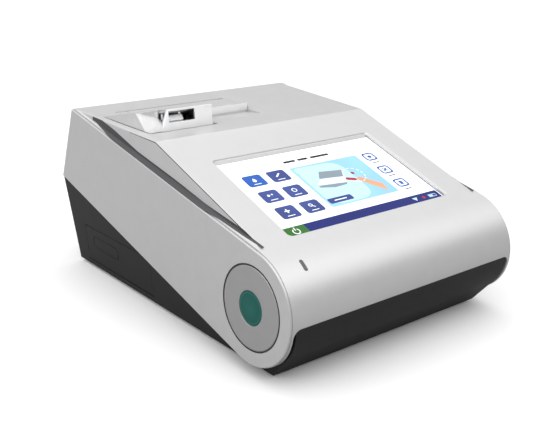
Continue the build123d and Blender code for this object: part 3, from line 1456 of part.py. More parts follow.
port_low_z = port_z + 0.1
port_depth = 14.0
with BuildPart() as usb_sockets:
    for x in usb_places:
        with BuildSketch(Plane.XZ.offset(-port_front(port_low_z))):
            with Locations((x, port_low_z)):
                Rectangle(usb_width, usb_height, align=(Align.CENTER, Align.MIN))
        extrude(amount=port_depth)
        with BuildSketch(Plane.XZ.offset(-port_front(port_low_z))):
            with Locations((x, port_low_z + 0.5)):
                Rectangle(usb_width - 1.0, usb_height - 1.0, align=(Align.CENTER, Align.MIN))
        extrude(amount=port_depth - 3, mode=Mode.SUBTRACT)
        with BuildSketch(Plane.XZ.offset(-port_front(port_low_z) + 1.0)):
            with Locations((x, port_low_z + usb_height - 0.4)):
                Rectangle(usb_width - 2.2, 1.6, align=(Align.CENTER, Align.MAX))
        extrude(amount=port_depth - 2)
usb_sockets.part.label = "usb_sockets"

with BuildPart() as lan_socket:
    with BuildSketch(Plane.XZ.offset(-port_front(port_low_z))):
        with Locations((lan_x, port_low_z)):
            Rectangle(lan_width, lan_height, align=(Align.CENTER, Align.MIN))
    extrude(amount=port_depth + 4)
    with BuildSketch(Plane.XZ.offset(-port_front(port_low_z))):
        with Locations((lan_x, port_low_z + 2.2)):
            Rectangle(11.8, 6.8, align=(Align.CENTER, Align.MIN))
        with Locations((lan_x, port_low_z + 8.9)):
            Rectangle(6.0, 2.4, align=(Align.CENTER, Align.MIN))
    extrude(amount=port_depth, mode=Mode.SUBTRACT)
lan_socket.part.label = "lan_socket"

with BuildPart() as dc_inlet:
    with BuildSketch(Plane.XZ.offset(-port_front(port_low_z))):
        with Locations((inlet_x, port_low_z + inlet_height / 2)):
            Circle(inlet_radius)
    extrude(amount=port_depth)
    with BuildSketch(Plane.XZ.offset(-port_front(port_low_z) + 6.0)):
        with Locations((inlet_x, port_low_z)):
            Rectangle(9.0, inlet_height, align=(Align.CENTER, Align.MIN))
    extrude(amount=port_depth - 5)
    with BuildSketch(Plane.XZ.offset(-port_front(port_low_z))):
        with Locations((inlet_x, port_low_z + inlet_height / 2)):
            Circle(2.9)
    extrude(amount=10, mode=Mode.SUBTRACT)
    with BuildSketch(Plane.XZ.offset(-port_front(port_low_z) + 1.5)):
        with Locations((inlet_x, port_low_z + inlet_height / 2)):
            Circle(1.0)
    extrude(amount=10)
dc_inlet.part.label = "dc_inlet"

button_face_y = rear_wall_y(button_z) + 1.2
with BuildPart() as power_button:
    with BuildSketch(Plane.XZ.offset(-button_face_y)):
        with Locations((button_x, button_z)):
            Circle(button_radius)
    extrude(amount=wall + 1.2 + 2.4)
    fillet(power_button.edges().filter_by(GeomType.CIRCLE).sort_by(Axis.Y)[-1], 0.6)
    with BuildSketch(Plane.XZ.offset(-button_face_y + wall + 1.2 + 2.4)):
        with Locations((button_x, button_z)):
            Circle(button_radius + 1.5)
    extrude(amount=1.2)
power_button.part.label = "power_button"

with BuildPart() as battery_cover:
    with BuildSketch(Plane.XY.offset(base_floor_z)):
        with Locations((0, (battery_front_y + battery_rear_y) / 2)):
            RectangleRounded(2 * (battery_half_width + battery_margin - seam),
                             battery_rear_y - battery_front_y + 2 * (battery_margin - seam), 1.7)
    extrude(amount=wall)
    with BuildSketch(Plane.XY.offset(base_floor_z)):
        with Locations((0, battery_front_y + 6)):
            with GridLocations(0, 2.6, 1, 4):
                SlotOverall(26, 1.2)
    extrude(amount=0.8, mode=Mode.SUBTRACT)
battery_cover.part.label = "battery_cover"

with BuildPart() as battery_pack:
    with BuildSketch(Plane.XY.offset(seat_z)):
        with Locations((0, (battery_front_y + battery_rear_y) / 2)):
            RectangleRounded(2 * battery_half_width, battery_rear_y - battery_front_y, 4)
    extrude(amount=battery_height)
    fillet(battery_pack.edges().group_by(Axis.Z)[-1], 2.0)
battery_pack.part.label = "battery_pack"

with BuildPart() as speaker:
    with BuildSketch(Plane.XY.offset(seat_z)):
        with Locations((speaker_x, speaker_y)):
            Circle(speaker_radius)
    extrude(amount=3.0)
    with BuildSketch(Plane.XY.offset(seat_z + 3.0)):
        with Locations((speaker_x, speaker_y)):
            Circle(speaker_radius - 5)
    extrude(amount=4.0)
speaker.part.label = "speaker"

pieces = [base_tray, top_cover, rubber_feet, base_screws, left_side_panel, right_side_panel,
          left_disc, right_disc, left_badge, right_badge, left_trim_strip, right_trim_strip,
          indicator_lens, touch_glass, lcd_module, lcd_frame, printer_cover, hinge_pin,
          release_lever, tear_bar, paper_tub, paper_roll, paper_core, platen_rubber, platen_shaft,
          platen_gear, idler_gear, motor_pinion, motor_shaft, printer_motor, printer_chassis,
          thermal_head, pack_door, pack_housing, calibrant_pack, cartridge_guide, heater_plate,
          contact_block, pump_motor, pump_body, pump_rotor, scanner_window, scanner_module,
          main_board, board_screws, usb_sockets, lan_socket, dc_inlet, power_button,
          battery_cover, battery_pack, speaker]
os.makedirs("parts", exist_ok=True)
for piece in pieces:
    export_step(piece.part, f"parts/{piece.part.label}.step")
    print(piece.part.label, round(piece.part.volume), len(piece.part.solids()))
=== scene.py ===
# %% [markdown]
# # Dressing a portable blood gas analyzer
# The analyzer is a wedge of silver-painted plastic on a black tray. It has a rolled nose, a lit
# touch screen, a printer under a raised lid, and a round end with a coloured badge on each side.
# Its solids come ready made. Blender adds the finishes, the lit picture on the screen, domed
# badges, thin skins over the casing, a hood over the printer cover and the studio around it all.

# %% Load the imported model
import math

import bmesh
import bpy
import numpy as np
from mathutils import Matrix, Vector


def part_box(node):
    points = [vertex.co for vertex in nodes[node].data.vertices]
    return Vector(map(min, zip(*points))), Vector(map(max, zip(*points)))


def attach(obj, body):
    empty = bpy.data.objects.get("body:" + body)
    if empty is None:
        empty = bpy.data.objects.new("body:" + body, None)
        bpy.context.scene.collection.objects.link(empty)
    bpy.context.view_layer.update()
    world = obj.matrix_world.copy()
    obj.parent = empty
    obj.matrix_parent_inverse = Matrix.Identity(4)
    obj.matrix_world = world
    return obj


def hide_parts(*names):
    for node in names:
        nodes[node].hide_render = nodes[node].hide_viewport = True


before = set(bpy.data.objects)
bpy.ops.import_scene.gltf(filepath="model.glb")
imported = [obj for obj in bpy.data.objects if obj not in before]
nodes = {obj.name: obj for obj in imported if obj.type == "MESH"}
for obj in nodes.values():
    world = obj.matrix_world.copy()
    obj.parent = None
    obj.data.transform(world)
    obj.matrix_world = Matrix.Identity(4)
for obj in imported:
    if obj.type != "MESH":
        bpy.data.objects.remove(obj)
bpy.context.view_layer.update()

MM = 0.001

# %% [markdown]
# ## The camera
# A camera is a place, a turn and a lens. The turn is built here from its two angles, the swing
# round the table and the height above it, because they are easy to read and to correct.
# Its three directions go into the columns of one matrix, which keeps them exact.

# %% Camera
swing = math.radians(-37.53)
rise = math.radians(19.13)
roll = math.radians(0.107)
back = Vector((math.sin(swing) * math.cos(rise), -math.cos(swing) * math.cos(rise), math.sin(rise)))
level = Vector((math.cos(swing), math.sin(swing), 0.0))
upright = back.cross(level)
right = level * math.cos(roll) + upright * math.sin(roll)
up = upright * math.cos(roll) - level * math.sin(roll)

spot = (-0.3963, -0.5093, 0.2784)
camera_data = bpy.data.cameras.new("camera")
camera_data.sensor_width = 36.0
camera_data.lens = 53.72
camera_data.clip_start = 0.01
camera = bpy.data.objects.new("camera", camera_data)
camera.matrix_world = Matrix((
    (right.x, up.x, back.x, spot[0]),
    (right.y, up.y, back.y, spot[1]),
    (right.z, up.z, back.z, spot[2]),
    (0, 0, 0, 1)))
bpy.context.scene.collection.objects.link(camera)
bpy.context.scene.camera = camera
print("camera at", [round(v, 3) for v in camera.matrix_world.translation])

# %% [markdown]
# ## Helpers for every node tree
# A shader is a net of small nodes. Adding them one by one takes many lines, so `wire` adds a node,
# sets its switches and feeds its inputs in one call. An input may be a number or another output.
# `blank` starts a material, `use` puts a shared group into it, and `ended` gives it its shader.

# %% Node helpers
def wire(tree, kind, feeds=None, **settings):
    """Adds one node. feeds maps an input's name or number to a value or to another node's output."""
    made = tree.nodes.new(kind)
    for name, value in settings.items():
        setattr(made, name, value)
    for name, value in (feeds or {}).items():
        if isinstance(value, bpy.types.NodeSocket):
            tree.links.new(value, made.inputs[name])
        else:
            made.inputs[name].default_value = value
    return made


def calc(tree, operation, first, second=0.0, clamp=False):
    """One sum on numbers, such as ADD or MULTIPLY."""
    return wire(tree, "ShaderNodeMath", {0: first, 1: second},
                operation=operation, use_clamp=clamp).outputs[0]


def blend(tree, share, first, second):
    """Colour between first and second, by a share from 0 to 1."""
    made = wire(tree, "ShaderNodeMix", {0: share, 6: first, 7: second}, data_type="RGBA")
    return made.outputs[2]


def spread(tree, value, low, high, from_low=0.0, from_high=1.0):
    """Stretches a value from one range to another and stops at its ends."""
    return wire(tree, "ShaderNodeMapRange",
                {0: value, 1: from_low, 2: from_high, 3: low, 4: high}).outputs[0]


def blank(name):
    """An empty material: itself, its node tree and the place on the object, to feed textures with."""
    material = bpy.data.materials.new(name)
    material.use_nodes = True
    material.node_tree.nodes.clear()
    place = wire(material.node_tree, "ShaderNodeTexCoord").outputs["Object"]
    return material, material.node_tree, place


def ended(material, feeds):
    """The material with a Principled shader that takes these feeds."""
    tree = material.node_tree
    shader = wire(tree, "ShaderNodeBsdfPrincipled", feeds)
    tree.links.new(shader.outputs[0], wire(tree, "ShaderNodeOutputMaterial").inputs[0])
    return material


def use(tree, group, place, feeds=None):
    """One of the shared groups, at work in a material."""
    return wire(tree, "ShaderNodeGroup", {"Position": place, **(feeds or {})}, node_tree=group)


def effect(name, inputs, outputs):
    """Starts a shader node group with named inputs and outputs: (name, socket type, value)."""
    group = bpy.data.node_groups.new(name, "ShaderNodeTree")
    for label, kind, value in inputs:
        group.interface.new_socket(label, in_out="INPUT", socket_type=kind).default_value = value
    for label, kind in outputs:
        group.interface.new_socket(label, in_out="OUTPUT", socket_type=kind)
    return group, wire(group, "NodeGroupInput"), wire(group, "NodeGroupOutput")


FLOAT, VECTOR = "NodeSocketFloat", "NodeSocketVector"
print("helpers ready")

# %% [markdown]
# ## Effects that many finishes share
# Moulded plastic is never quite smooth. Spark erosion gives the tool a fine grain, and paint dries
# with a faint orange peel. Both are noise at a size in millimetres, so one group makes them.
# The group gives a height, which a Bump node turns into light and shade, and a tone for the colour.

# %% Grain
grain, taken, given = effect(
    "grain", [("Position", VECTOR, (0, 0, 0)), ("Size mm", FLOAT, 0.4), ("Detail", FLOAT, 3.0)],
    [("Height", FLOAT), ("Tone", FLOAT)])
density = calc(grain, "DIVIDE", 1000.0, taken.outputs["Size mm"])
scaled = wire(grain, "ShaderNodeVectorMath", {0: taken.outputs["Position"], "Scale": density},
              operation="SCALE")
fine = wire(grain, "ShaderNodeTexNoise",
            {"Vector": scaled.outputs[0], "Scale": 1.0, "Detail": taken.outputs["Detail"],
             "Roughness": 0.6})
broad = wire(grain, "ShaderNodeTexNoise", {"Vector": scaled.outputs[0], "Scale": 0.035, "Detail": 2.0})
grain.links.new(fine.outputs[0], given.inputs["Height"])
mixed = calc(grain, "ADD", calc(grain, "MULTIPLY", fine.outputs[0], 0.5),
             calc(grain, "MULTIPLY", broad.outputs[0], 0.5))
grain.links.new(spread(grain, mixed, 0.0, 1.0, 0.3, 0.7), given.inputs["Tone"])
print("group", grain.name)

# %% [markdown]
# No moulded edge is a knife edge. The Bevel node looks at the faces close to a point and returns
# the normal that a rounded edge would have, so the edge catches a thin line of light. Where that
# normal differs from the real one there is an edge, and that is also where a finish rubs thin.

# %% Rounded edges and wear
edges, taken, given = effect(
    "edges", [("Radius", FLOAT, 0.0005), ("Position", VECTOR, (0, 0, 0))],
    [("Normal", VECTOR), ("Mask", FLOAT)])
rounded = wire(edges, "ShaderNodeBevel", {"Radius": taken.outputs["Radius"]}, samples=4)
facing = wire(edges, "ShaderNodeNewGeometry")
same = wire(edges, "ShaderNodeVectorMath", {0: rounded.outputs[0], 1: facing.outputs["Normal"]},
            operation="DOT_PRODUCT")
off = calc(edges, "SUBTRACT", 1.0, same.outputs["Value"])
patches = wire(edges, "ShaderNodeTexNoise",
               {"Vector": taken.outputs["Position"], "Scale": 160.0, "Detail": 4.0})
worn = calc(edges, "MULTIPLY", spread(edges, off, 0.0, 1.0, 0.02, 0.25),
            spread(edges, patches.outputs[0], 0.25, 1.0, 0.35, 0.65), clamp=True)
edges.links.new(rounded.outputs[0], given.inputs["Normal"])
edges.links.new(worn, given.inputs["Mask"])
print("group", edges.name)

# %% [markdown]
# Dust settles on what faces up and stays longest in patches. Fingers leave soft marks that only
# show where something is glossy, so the marks change the roughness and not the colour.

# %% Dust and finger marks
dust, taken, given = effect("dust", [("Position", VECTOR, (0, 0, 0))], [("Mask", FLOAT)])
facing = wire(dust, "ShaderNodeNewGeometry")
height = wire(dust, "ShaderNodeSeparateXYZ", {0: facing.outputs["Normal"]})
cloud = wire(dust, "ShaderNodeTexNoise",
             {"Vector": taken.outputs["Position"], "Scale": 45.0, "Detail": 6.0})
specks = wire(dust, "ShaderNodeTexVoronoi", {"Vector": taken.outputs["Position"], "Scale": 700.0})
laid = calc(dust, "MULTIPLY", spread(dust, height.outputs[2], 0.0, 1.0, 0.5, 1.0),
            spread(dust, cloud.outputs[0], 0.1, 1.0, 0.35, 0.75))
specked = calc(dust, "MULTIPLY", laid, spread(dust, specks.outputs[0], 0.6, 0.0, 0.0, 0.12))
laid = calc(dust, "ADD", laid, specked, clamp=True)
dust.links.new(laid, given.inputs["Mask"])

marks, taken, given = effect("finger_marks", [("Position", VECTOR, (0, 0, 0))], [("Mask", FLOAT)])
soft = wire(marks, "ShaderNodeTexNoise",
            {"Vector": taken.outputs["Position"], "Scale": 60.0, "Detail": 2.0, "Distortion": 0.8})
lines = wire(marks, "ShaderNodeTexNoise",
             {"Vector": taken.outputs["Position"], "Scale": 900.0, "Detail": 2.0})
touched = calc(marks, "MULTIPLY", spread(marks, soft.outputs[0], 0.0, 1.0, 0.48, 0.72),
               spread(marks, lines.outputs[0], 0.4, 1.0, 0.4, 0.6))
marks.links.new(touched, given.inputs["Mask"])
print("groups", dust.name, marks.name)

# %% [markdown]
# Rolled, drawn and ground metal carries fine lines in one direction. Noise that is squeezed along
# two axes and pulled out along the third gives them, and the pull is an input of the group.

# %% Metal lines
lined, taken, given = effect(
    "metal_lines", [("Position", VECTOR, (0, 0, 0)), ("Pull", VECTOR, (0.02, 1, 1))],
    [("Height", FLOAT), ("Tone", FLOAT)])
pulled = wire(lined, "ShaderNodeVectorMath", {0: taken.outputs["Position"], 1: taken.outputs["Pull"]},
              operation="MULTIPLY")
streak = wire(lined, "ShaderNodeTexNoise", {"Vector": pulled.outputs[0], "Scale": 5200.0, "Detail": 3.0})
lined.links.new(streak.outputs[0], given.inputs["Height"])
lined.links.new(spread(lined, streak.outputs[0], 0.0, 1.0, 0.3, 0.7), given.inputs["Tone"])
print("group", lined.name)


# %% [markdown]
# ## Finishes
# One maker covers moulded, painted and metal surfaces. They differ in their numbers: the two
# colours that the grain mixes, how shiny they are, how coarse the grain is and how far an edge
# goes pale. The shader itself stays in each material, with its plain numbers on its own sockets.

# %% Maker for moulded, painted and metal finishes
def finish(name, colour, shade, roughness, size_mm, depth_mm, edge=(0.5, 0.5, 0.5), wear=0.0,
           dusty=0.0, metallic=0.0, coat=0.0, pull=None, radius_mm=0.4, shine=0.5):
    """Material whose colour, roughness and bump follow grain, edge wear and dust."""
    material, tree, place = blank(name)
    if pull is None:
        rough_map = use(tree, grain, place, {"Size mm": size_mm})
    else:
        rough_map = use(tree, lined, place, {"Pull": pull})
    rims = use(tree, edges, place, {"Radius": radius_mm * MM})
    layer = use(tree, dust, place)
    tone = rough_map.outputs["Tone"]
    body = blend(tree, tone, (*shade, 1), (*colour, 1))
    body = blend(tree, calc(tree, "MULTIPLY", rims.outputs["Mask"], wear), body, (*edge, 1))
    body = blend(tree, calc(tree, "MULTIPLY", layer.outputs["Mask"], dusty), body, (0.55, 0.54, 0.52, 1))
    gloss = calc(tree, "ADD", spread(tree, tone, roughness - 0.04, roughness + 0.04),
                 calc(tree, "MULTIPLY", layer.outputs["Mask"], dusty * 0.5), clamp=True)
    relief = wire(tree, "ShaderNodeBump", {"Strength": 1.0, "Distance": depth_mm * MM,
                                           "Height": rough_map.outputs["Height"],
                                           "Normal": rims.outputs["Normal"]})
    return ended(material, {
        "Base Color": body, "Roughness": gloss, "Normal": relief.outputs[0], "Metallic": metallic,
        "Coat Weight": coat, "Coat Roughness": 0.12, "Specular IOR Level": shine})


def dress(material, *names):
    """Gives CAD nodes this material in every slot they have."""
    for name in names:
        for holder in nodes[name].material_slots:
            holder.material = material


print("finish maker ready")

# %% [markdown]
# The casing is sprayed with silver paint: a grey that holds fine aluminium flakes, so it is a
# little metallic and its highlight is wide and soft. The side panels and discs were sprayed apart
# from the cover, and are a shade darker.

# %% Silver paint
cover_paint = finish("cover_paint", (0.575, 0.575, 0.58), (0.55, 0.55, 0.555), 0.36, 0.35, 0.003,
                     edge=(0.66, 0.66, 0.67), wear=0.35, dusty=0.04, metallic=0.45)
panel_paint = finish("panel_paint", (0.56, 0.56, 0.562), (0.53, 0.53, 0.532), 0.36, 0.35, 0.003,
                     edge=(0.64, 0.64, 0.65), wear=0.4, dusty=0.02, metallic=0.4)
disc_paint = finish("disc_paint", (0.37, 0.37, 0.372), (0.35, 0.35, 0.352), 0.33, 0.35, 0.003,
                    edge=(0.62, 0.62, 0.63), wear=0.4, metallic=0.4, radius_mm=1.3)
dress(cover_paint, "top_cover", "printer_cover")
dress(panel_paint, "left_side_panel", "right_side_panel")
dress(disc_paint, "left_disc", "right_disc")
print("painted", cover_paint.name, panel_paint.name, disc_paint.name)

# %% [markdown]
# The tray, the pack door and the battery cover are black plastic with a spark-eroded grain. The
# grain breaks up the light, so the black looks dark grey, and its corners are rubbed paler.

# %% Black mouldings
tray_black = finish("tray_black", (0.015, 0.015, 0.016), (0.010, 0.010, 0.011), 0.48, 0.5, 0.02,
                    edge=(0.07, 0.07, 0.07), wear=0.4, dusty=0.03, shine=0.3, radius_mm=0.6)
inner_black = finish("inner_black", (0.022, 0.022, 0.024), (0.015, 0.015, 0.017), 0.42, 0.8, 0.008,
                     edge=(0.07, 0.07, 0.07), wear=0.35, dusty=0.03, shine=0.35)
strip_grey = finish("strip_grey", (0.052, 0.052, 0.055), (0.040, 0.040, 0.043), 0.48, 0.4, 0.01,
                    edge=(0.2, 0.2, 0.2), wear=0.4)
dress(tray_black, "base_tray", "pack_door", "battery_cover")
dress(inner_black, "lcd_frame", "paper_tub", "pack_housing", "contact_block", "scanner_module",
      "dc_inlet", "speaker")
print("moulded", tray_black.name, inner_black.name, strip_grey.name)

# %% [markdown]
# Small mouldings differ by their plastic. The levers are a light grey, the gears are natural
# acetal, which is milky and waxy, and the guide that takes the sample is a darker grey.

# %% Other plastics and rubber
lever_plastic = finish("lever_plastic", (0.50, 0.51, 0.52), (0.44, 0.45, 0.46), 0.34, 0.5, 0.006,
                       edge=(0.62, 0.62, 0.63), wear=0.3, coat=0.1)
acetal = finish("acetal", (0.80, 0.80, 0.75), (0.72, 0.72, 0.67), 0.3, 1.2, 0.006,
                coat=0.15, radius_mm=0.15)
guide_plastic = finish("guide_plastic", (0.26, 0.27, 0.29), (0.21, 0.22, 0.24), 0.4, 0.6, 0.008,
                       edge=(0.4, 0.4, 0.4), wear=0.3)
core_plastic = finish("core_plastic", (0.32, 0.33, 0.35), (0.27, 0.28, 0.30), 0.38, 0.8, 0.006)
pack_film = finish("pack_film", (0.76, 0.78, 0.81), (0.66, 0.69, 0.73), 0.28, 6.0, 0.12, coat=0.3)
foot_rubber = finish("foot_rubber", (0.028, 0.028, 0.028), (0.018, 0.018, 0.018), 0.75, 0.7, 0.03,
                     dusty=0.1)
platen_ground = finish("platen_ground", (0.055, 0.055, 0.06), (0.04, 0.04, 0.045), 0.7, 0.3, 0.01)
dress(lever_plastic, "release_lever", "power_button", "pump_rotor")
dress(acetal, "platen_gear", "idler_gear")
dress(guide_plastic, "cartridge_guide", "pump_body")
dress(core_plastic, "paper_core")
dress(pack_film, "calibrant_pack")
dress(foot_rubber, "rubber_feet")
dress(platen_ground, "platen_rubber")
print("plastics", lever_plastic.name, acetal.name, guide_plastic.name)

# %% [markdown]
# Every metal piece shows how it was made: a ground shaft has rings round it, a drawn motor can has
# lines along it, and a stamped sheet has the lines of the rolling mill.

# %% Metals
screw_zinc = finish("screw_zinc", (0.52, 0.52, 0.53), (0.40, 0.40, 0.41), 0.34, 1, 0.004,
                    metallic=1.0, pull=(1, 1, 0.05), radius_mm=0.15)
shaft_ground = finish("shaft_ground", (0.66, 0.66, 0.67), (0.54, 0.54, 0.55), 0.2, 1, 0.002,
                      metallic=1.0, pull=(1, 0.02, 0.02), radius_mm=0.1)
blade_rolled = finish("blade_rolled", (0.68, 0.68, 0.69), (0.58, 0.58, 0.59), 0.24, 1, 0.002,
                      metallic=1.0, pull=(0.02, 1, 1), radius_mm=0.05)
motor_drawn = finish("motor_drawn", (0.56, 0.56, 0.57), (0.46, 0.46, 0.47), 0.3, 1, 0.003,
                     metallic=1.0, pull=(0.03, 1, 1), radius_mm=0.3)
sheet_zinc = finish("sheet_zinc", (0.60, 0.61, 0.62), (0.50, 0.51, 0.52), 0.32, 1, 0.003,
                    metallic=1.0, pull=(1, 0.03, 1), radius_mm=0.2)
socket_nickel = finish("socket_nickel", (0.70, 0.69, 0.66), (0.60, 0.59, 0.57), 0.22, 1, 0.002,
                       metallic=1.0, pull=(1, 0.05, 1), radius_mm=0.15)
pinion_brass = finish("pinion_brass", (0.75, 0.56, 0.25), (0.64, 0.46, 0.19), 0.26, 1, 0.002,
                      metallic=1.0, pull=(1, 0.05, 0.05), radius_mm=0.1)
plate_milled = finish("plate_milled", (0.74, 0.75, 0.76), (0.64, 0.65, 0.66), 0.28, 1, 0.003,
                      metallic=1.0, pull=(0.05, 1, 1), radius_mm=0.2)
dress(screw_zinc, "base_screws", "board_screws")
dress(shaft_ground, "hinge_pin", "platen_shaft", "motor_shaft")
dress(blade_rolled, "tear_bar")
dress(motor_drawn, "printer_motor", "pump_motor")
dress(sheet_zinc, "printer_chassis")
dress(socket_nickel, "usb_sockets", "lan_socket")
dress(pinion_brass, "motor_pinion")
dress(plate_milled, "heater_plate")
print("metals", screw_zinc.name, shaft_ground.name, motor_drawn.name)

# %% [markdown]
# A paper roll is one long strip, so its ends show rings as fine as the paper is thick. The rings
# are a wave on the distance from the roll's axis, which is measured from the roll's own box.

# %% Paper roll
def paper_finish(name, axis_y, axis_z):
    """White paper whose rings follow the distance from a line along X through (axis_y, axis_z)."""
    material, tree, place = blank(name)
    offset = wire(tree, "ShaderNodeVectorMath", {0: place, 1: (0, axis_y, axis_z)}, operation="SUBTRACT")
    flat = wire(tree, "ShaderNodeVectorMath", {0: offset.outputs[0], 1: (0, 1, 1)}, operation="MULTIPLY")
    far = wire(tree, "ShaderNodeVectorMath", {0: flat.outputs[0]}, operation="LENGTH").outputs["Value"]
    rings = calc(tree, "SINE", calc(tree, "MULTIPLY", far, 2 * math.pi / (0.28 * MM)))
    fibres = use(tree, grain, place, {"Size mm": 0.25})
    tone = calc(tree, "ADD", calc(tree, "MULTIPLY", rings, 0.25),
                calc(tree, "MULTIPLY", fibres.outputs["Tone"], 0.6), clamp=True)
    body = blend(tree, tone, (0.80, 0.80, 0.78, 1), (0.90, 0.90, 0.885, 1))
    relief = wire(tree, "ShaderNodeBump", {"Strength": 0.5, "Distance": 0.02 * MM, "Height": tone})
    return ended(material, {
        "Base Color": body, "Normal": relief.outputs[0], "Roughness": spread(tree, tone, 0.62, 0.5),
        "Sheen Weight": 0.1})


roll_low, roll_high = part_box("paper_roll")
roll_middle = (roll_low + roll_high) / 2
roll_paper = paper_finish("roll_paper", roll_middle.y, roll_middle.z)
dress(roll_paper, "paper_roll")
print("roll axis", round(roll_middle.y, 4), round(roll_middle.z, 4))

# %% [markdown]
# A circuit board is copper under a green lacquer. The copper tracks stand a hair proud and show
# through as a paler green, in short straight runs. A grid of stretched cells gives runs of the
# right kind, and the rest of the board is bare lacquer.

# %% Circuit board, battery wrap and print head
def board_finish(name):
    """Green lacquer with paler tracks in straight runs."""
    material, tree, place = blank(name)
    bricks = wire(tree, "ShaderNodeTexBrick", {
        "Vector": place, "Color1": (1, 1, 1, 1), "Color2": (0.4, 0.4, 0.4, 1), "Mortar": (0, 0, 0, 1),
        "Scale": 260.0, "Mortar Size": 0.09, "Brick Width": 2.2, "Row Height": 0.32}, offset=0.37)
    zones = wire(tree, "ShaderNodeTexVoronoi", {"Vector": place, "Scale": 70.0}, distance="CHEBYCHEV")
    zone = spread(tree, zones.outputs[0], 1.0, 0.0, 0.35, 0.45)
    track = calc(tree, "MULTIPLY", bricks.outputs["Color"], zone)
    body = blend(tree, track, (0.010, 0.085, 0.040, 1), (0.030, 0.190, 0.085, 1))
    relief = wire(tree, "ShaderNodeBump", {"Strength": 1.0, "Distance": 0.04 * MM, "Height": track})
    return ended(material, {
        "Base Color": body, "Normal": relief.outputs[0], "Roughness": spread(tree, track, 0.3, 0.22),
        "Coat Weight": 0.5, "Coat Roughness": 0.1})


board_green = board_finish("board_green")
battery_wrap = finish("battery_wrap", (0.045, 0.10, 0.30), (0.035, 0.08, 0.25), 0.24, 9.0, 0.15,
                      edge=(0.2, 0.28, 0.45), wear=0.3, coat=0.4, radius_mm=1.0)
head_glaze = finish("head_glaze", (0.30, 0.20, 0.14), (0.24, 0.16, 0.11), 0.2, 0.6, 0.003, coat=0.6)
dress(board_green, "main_board")
dress(battery_wrap, "battery_pack")
dress(head_glaze, "thermal_head")
print("boards", board_green.name, battery_wrap.name)


# %% [markdown]
# ## Surfaces made with numpy
# The pieces from here on are new meshes. Each is a set of closed loops of points, worked out as
# whole arrays. A loop joined to the next by four-cornered faces makes a wall, and a first and last
# loop closed by a cap make a solid. They are drawings on a plane, domes over it and thin skins.

# %% Loops and solids
def rounded_loop(width, height, radius, steps=6):
    """Rectangle with round corners: four quarter circles, their centres at the inset corners."""
    angles = np.linspace(0, np.pi / 2, steps)
    quarter = np.arange(4)[:, None] * np.pi / 2 + angles[None, :]
    signs = np.array([[1, 1], [-1, 1], [-1, -1], [1, -1]])
    centre = signs * (np.array([width, height]) / 2 - radius)
    across = centre[:, 0:1] + radius * np.cos(quarter)
    up = centre[:, 1:2] + radius * np.sin(quarter)
    return np.stack([across, up], -1).reshape(-1, 2)


def round_loop(radius, steps=32):
    """Circle: radius times (cos a, sin a)."""
    angles = np.linspace(0, 2 * np.pi, steps, endpoint=False)
    return radius * np.stack([np.cos(angles), np.sin(angles)], -1)


def drop_loop(size, steps=32):
    """Drop: across is sin a times sin a/2 to the power 1.5, up is cos a, so the top is a point."""
    angles = np.linspace(0, 2 * np.pi, steps, endpoint=False)
    return size * np.stack([0.95 * np.sin(angles) * np.sin(angles / 2) ** 1.5 * -1, np.cos(angles)], -1)


def turned(loop, degrees):
    """The loop turned about the origin."""
    angle = math.radians(degrees)
    spin = np.array([[math.cos(angle), math.sin(angle)], [-math.sin(angle), math.cos(angle)]])
    return loop @ spin


def walls(count, rows, start=0, around=False):
    """Faces of `rows` loops of `count` points: each joins a point, its neighbour and the two above."""
    column = np.arange(count)
    row = np.arange(rows if around else rows - 1)[:, None]
    near, far = row * count, ((row + 1) % rows) * count
    ahead = (column + 1) % count
    faces = np.stack([near + column, near + ahead, far + ahead, far + column], -1)
    return (faces.reshape(-1, 4) + start).tolist()


def slab(loop, high, low=0.0):
    """A closed plate: the loop at two heights, a wall between them and a cap on each."""
    count = len(loop)
    points = np.concatenate([np.column_stack([loop, np.full(count, h)]) for h in (low, high)])
    caps = [list(range(count))[::-1], list(range(count, 2 * count))]
    return points, walls(count, 2) + caps


def frame_slab(outer, inner, high, low=0.0):
    """A closed plate with a hole: outer low, outer high, inner high, inner low, and round again."""
    count = len(outer)
    loops = [(outer, low), (outer, high), (inner, high), (inner, low)]
    points = np.concatenate([np.column_stack([loop, np.full(count, h)]) for loop, h in loops])
    return points, walls(count, 4, around=True)


def join(parts):
    """Several sets of points and faces as one."""
    points, faces, start = [], [], 0
    for part_points, part_faces in parts:
        points.append(part_points)
        faces += [[start + index for index in face] for face in part_faces]
        start += len(part_points)
    return np.concatenate(points), faces


def piece(name, points, faces, material, body="casing", smooth=False):
    """A mesh object at the origin with its place in its points, riding on a body."""
    mesh = bpy.data.meshes.new(name)
    mesh.from_pydata(points.tolist(), [], faces)
    sheet = bmesh.new()
    sheet.from_mesh(mesh)
    bmesh.ops.recalc_face_normals(sheet, faces=sheet.faces)
    sheet.to_mesh(mesh)
    sheet.free()
    mesh.materials.append(material)
    if smooth:
        mesh.shade_smooth()
        mesh.set_sharp_from_angle(angle=math.radians(40))
    made = bpy.data.objects.new(name, mesh)
    bpy.context.scene.collection.objects.link(made)
    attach(made, body)
    return made


print("loop of a 10 by 6 plate has", len(rounded_loop(10, 6, 1)), "points")

# %% [markdown]
# ## Thin skins over the casing
# Beside the deck runs a steep flank, and at its foot a dark grey band covers the bevel behind the
# panel's rim. A skin follows such a surface a few hundredths of a millimetre proud of it. Its
# columns are lines of points along the casing, and each column has its own way out.

# %% Planes of the flank and a skin over them
def ridge(y):
    """Height of the side's upper edge, which rises evenly to the rear."""
    return 143.6 + (y - 135.9) * 0.20385


def deck(y):
    """Height of the deck: a slope in front of the crease at 9.5 mm and a gentle rise behind it."""
    return 137.7 + (y - 9.5) * np.where(y > 9.5, 0.04668, 0.34795)


def flank_x(y, z):
    """The flank spreads to the rear and leans in going up."""
    return -(104.2 + 0.06 * (y + 115.6) - 0.14 * (z - 94.17))


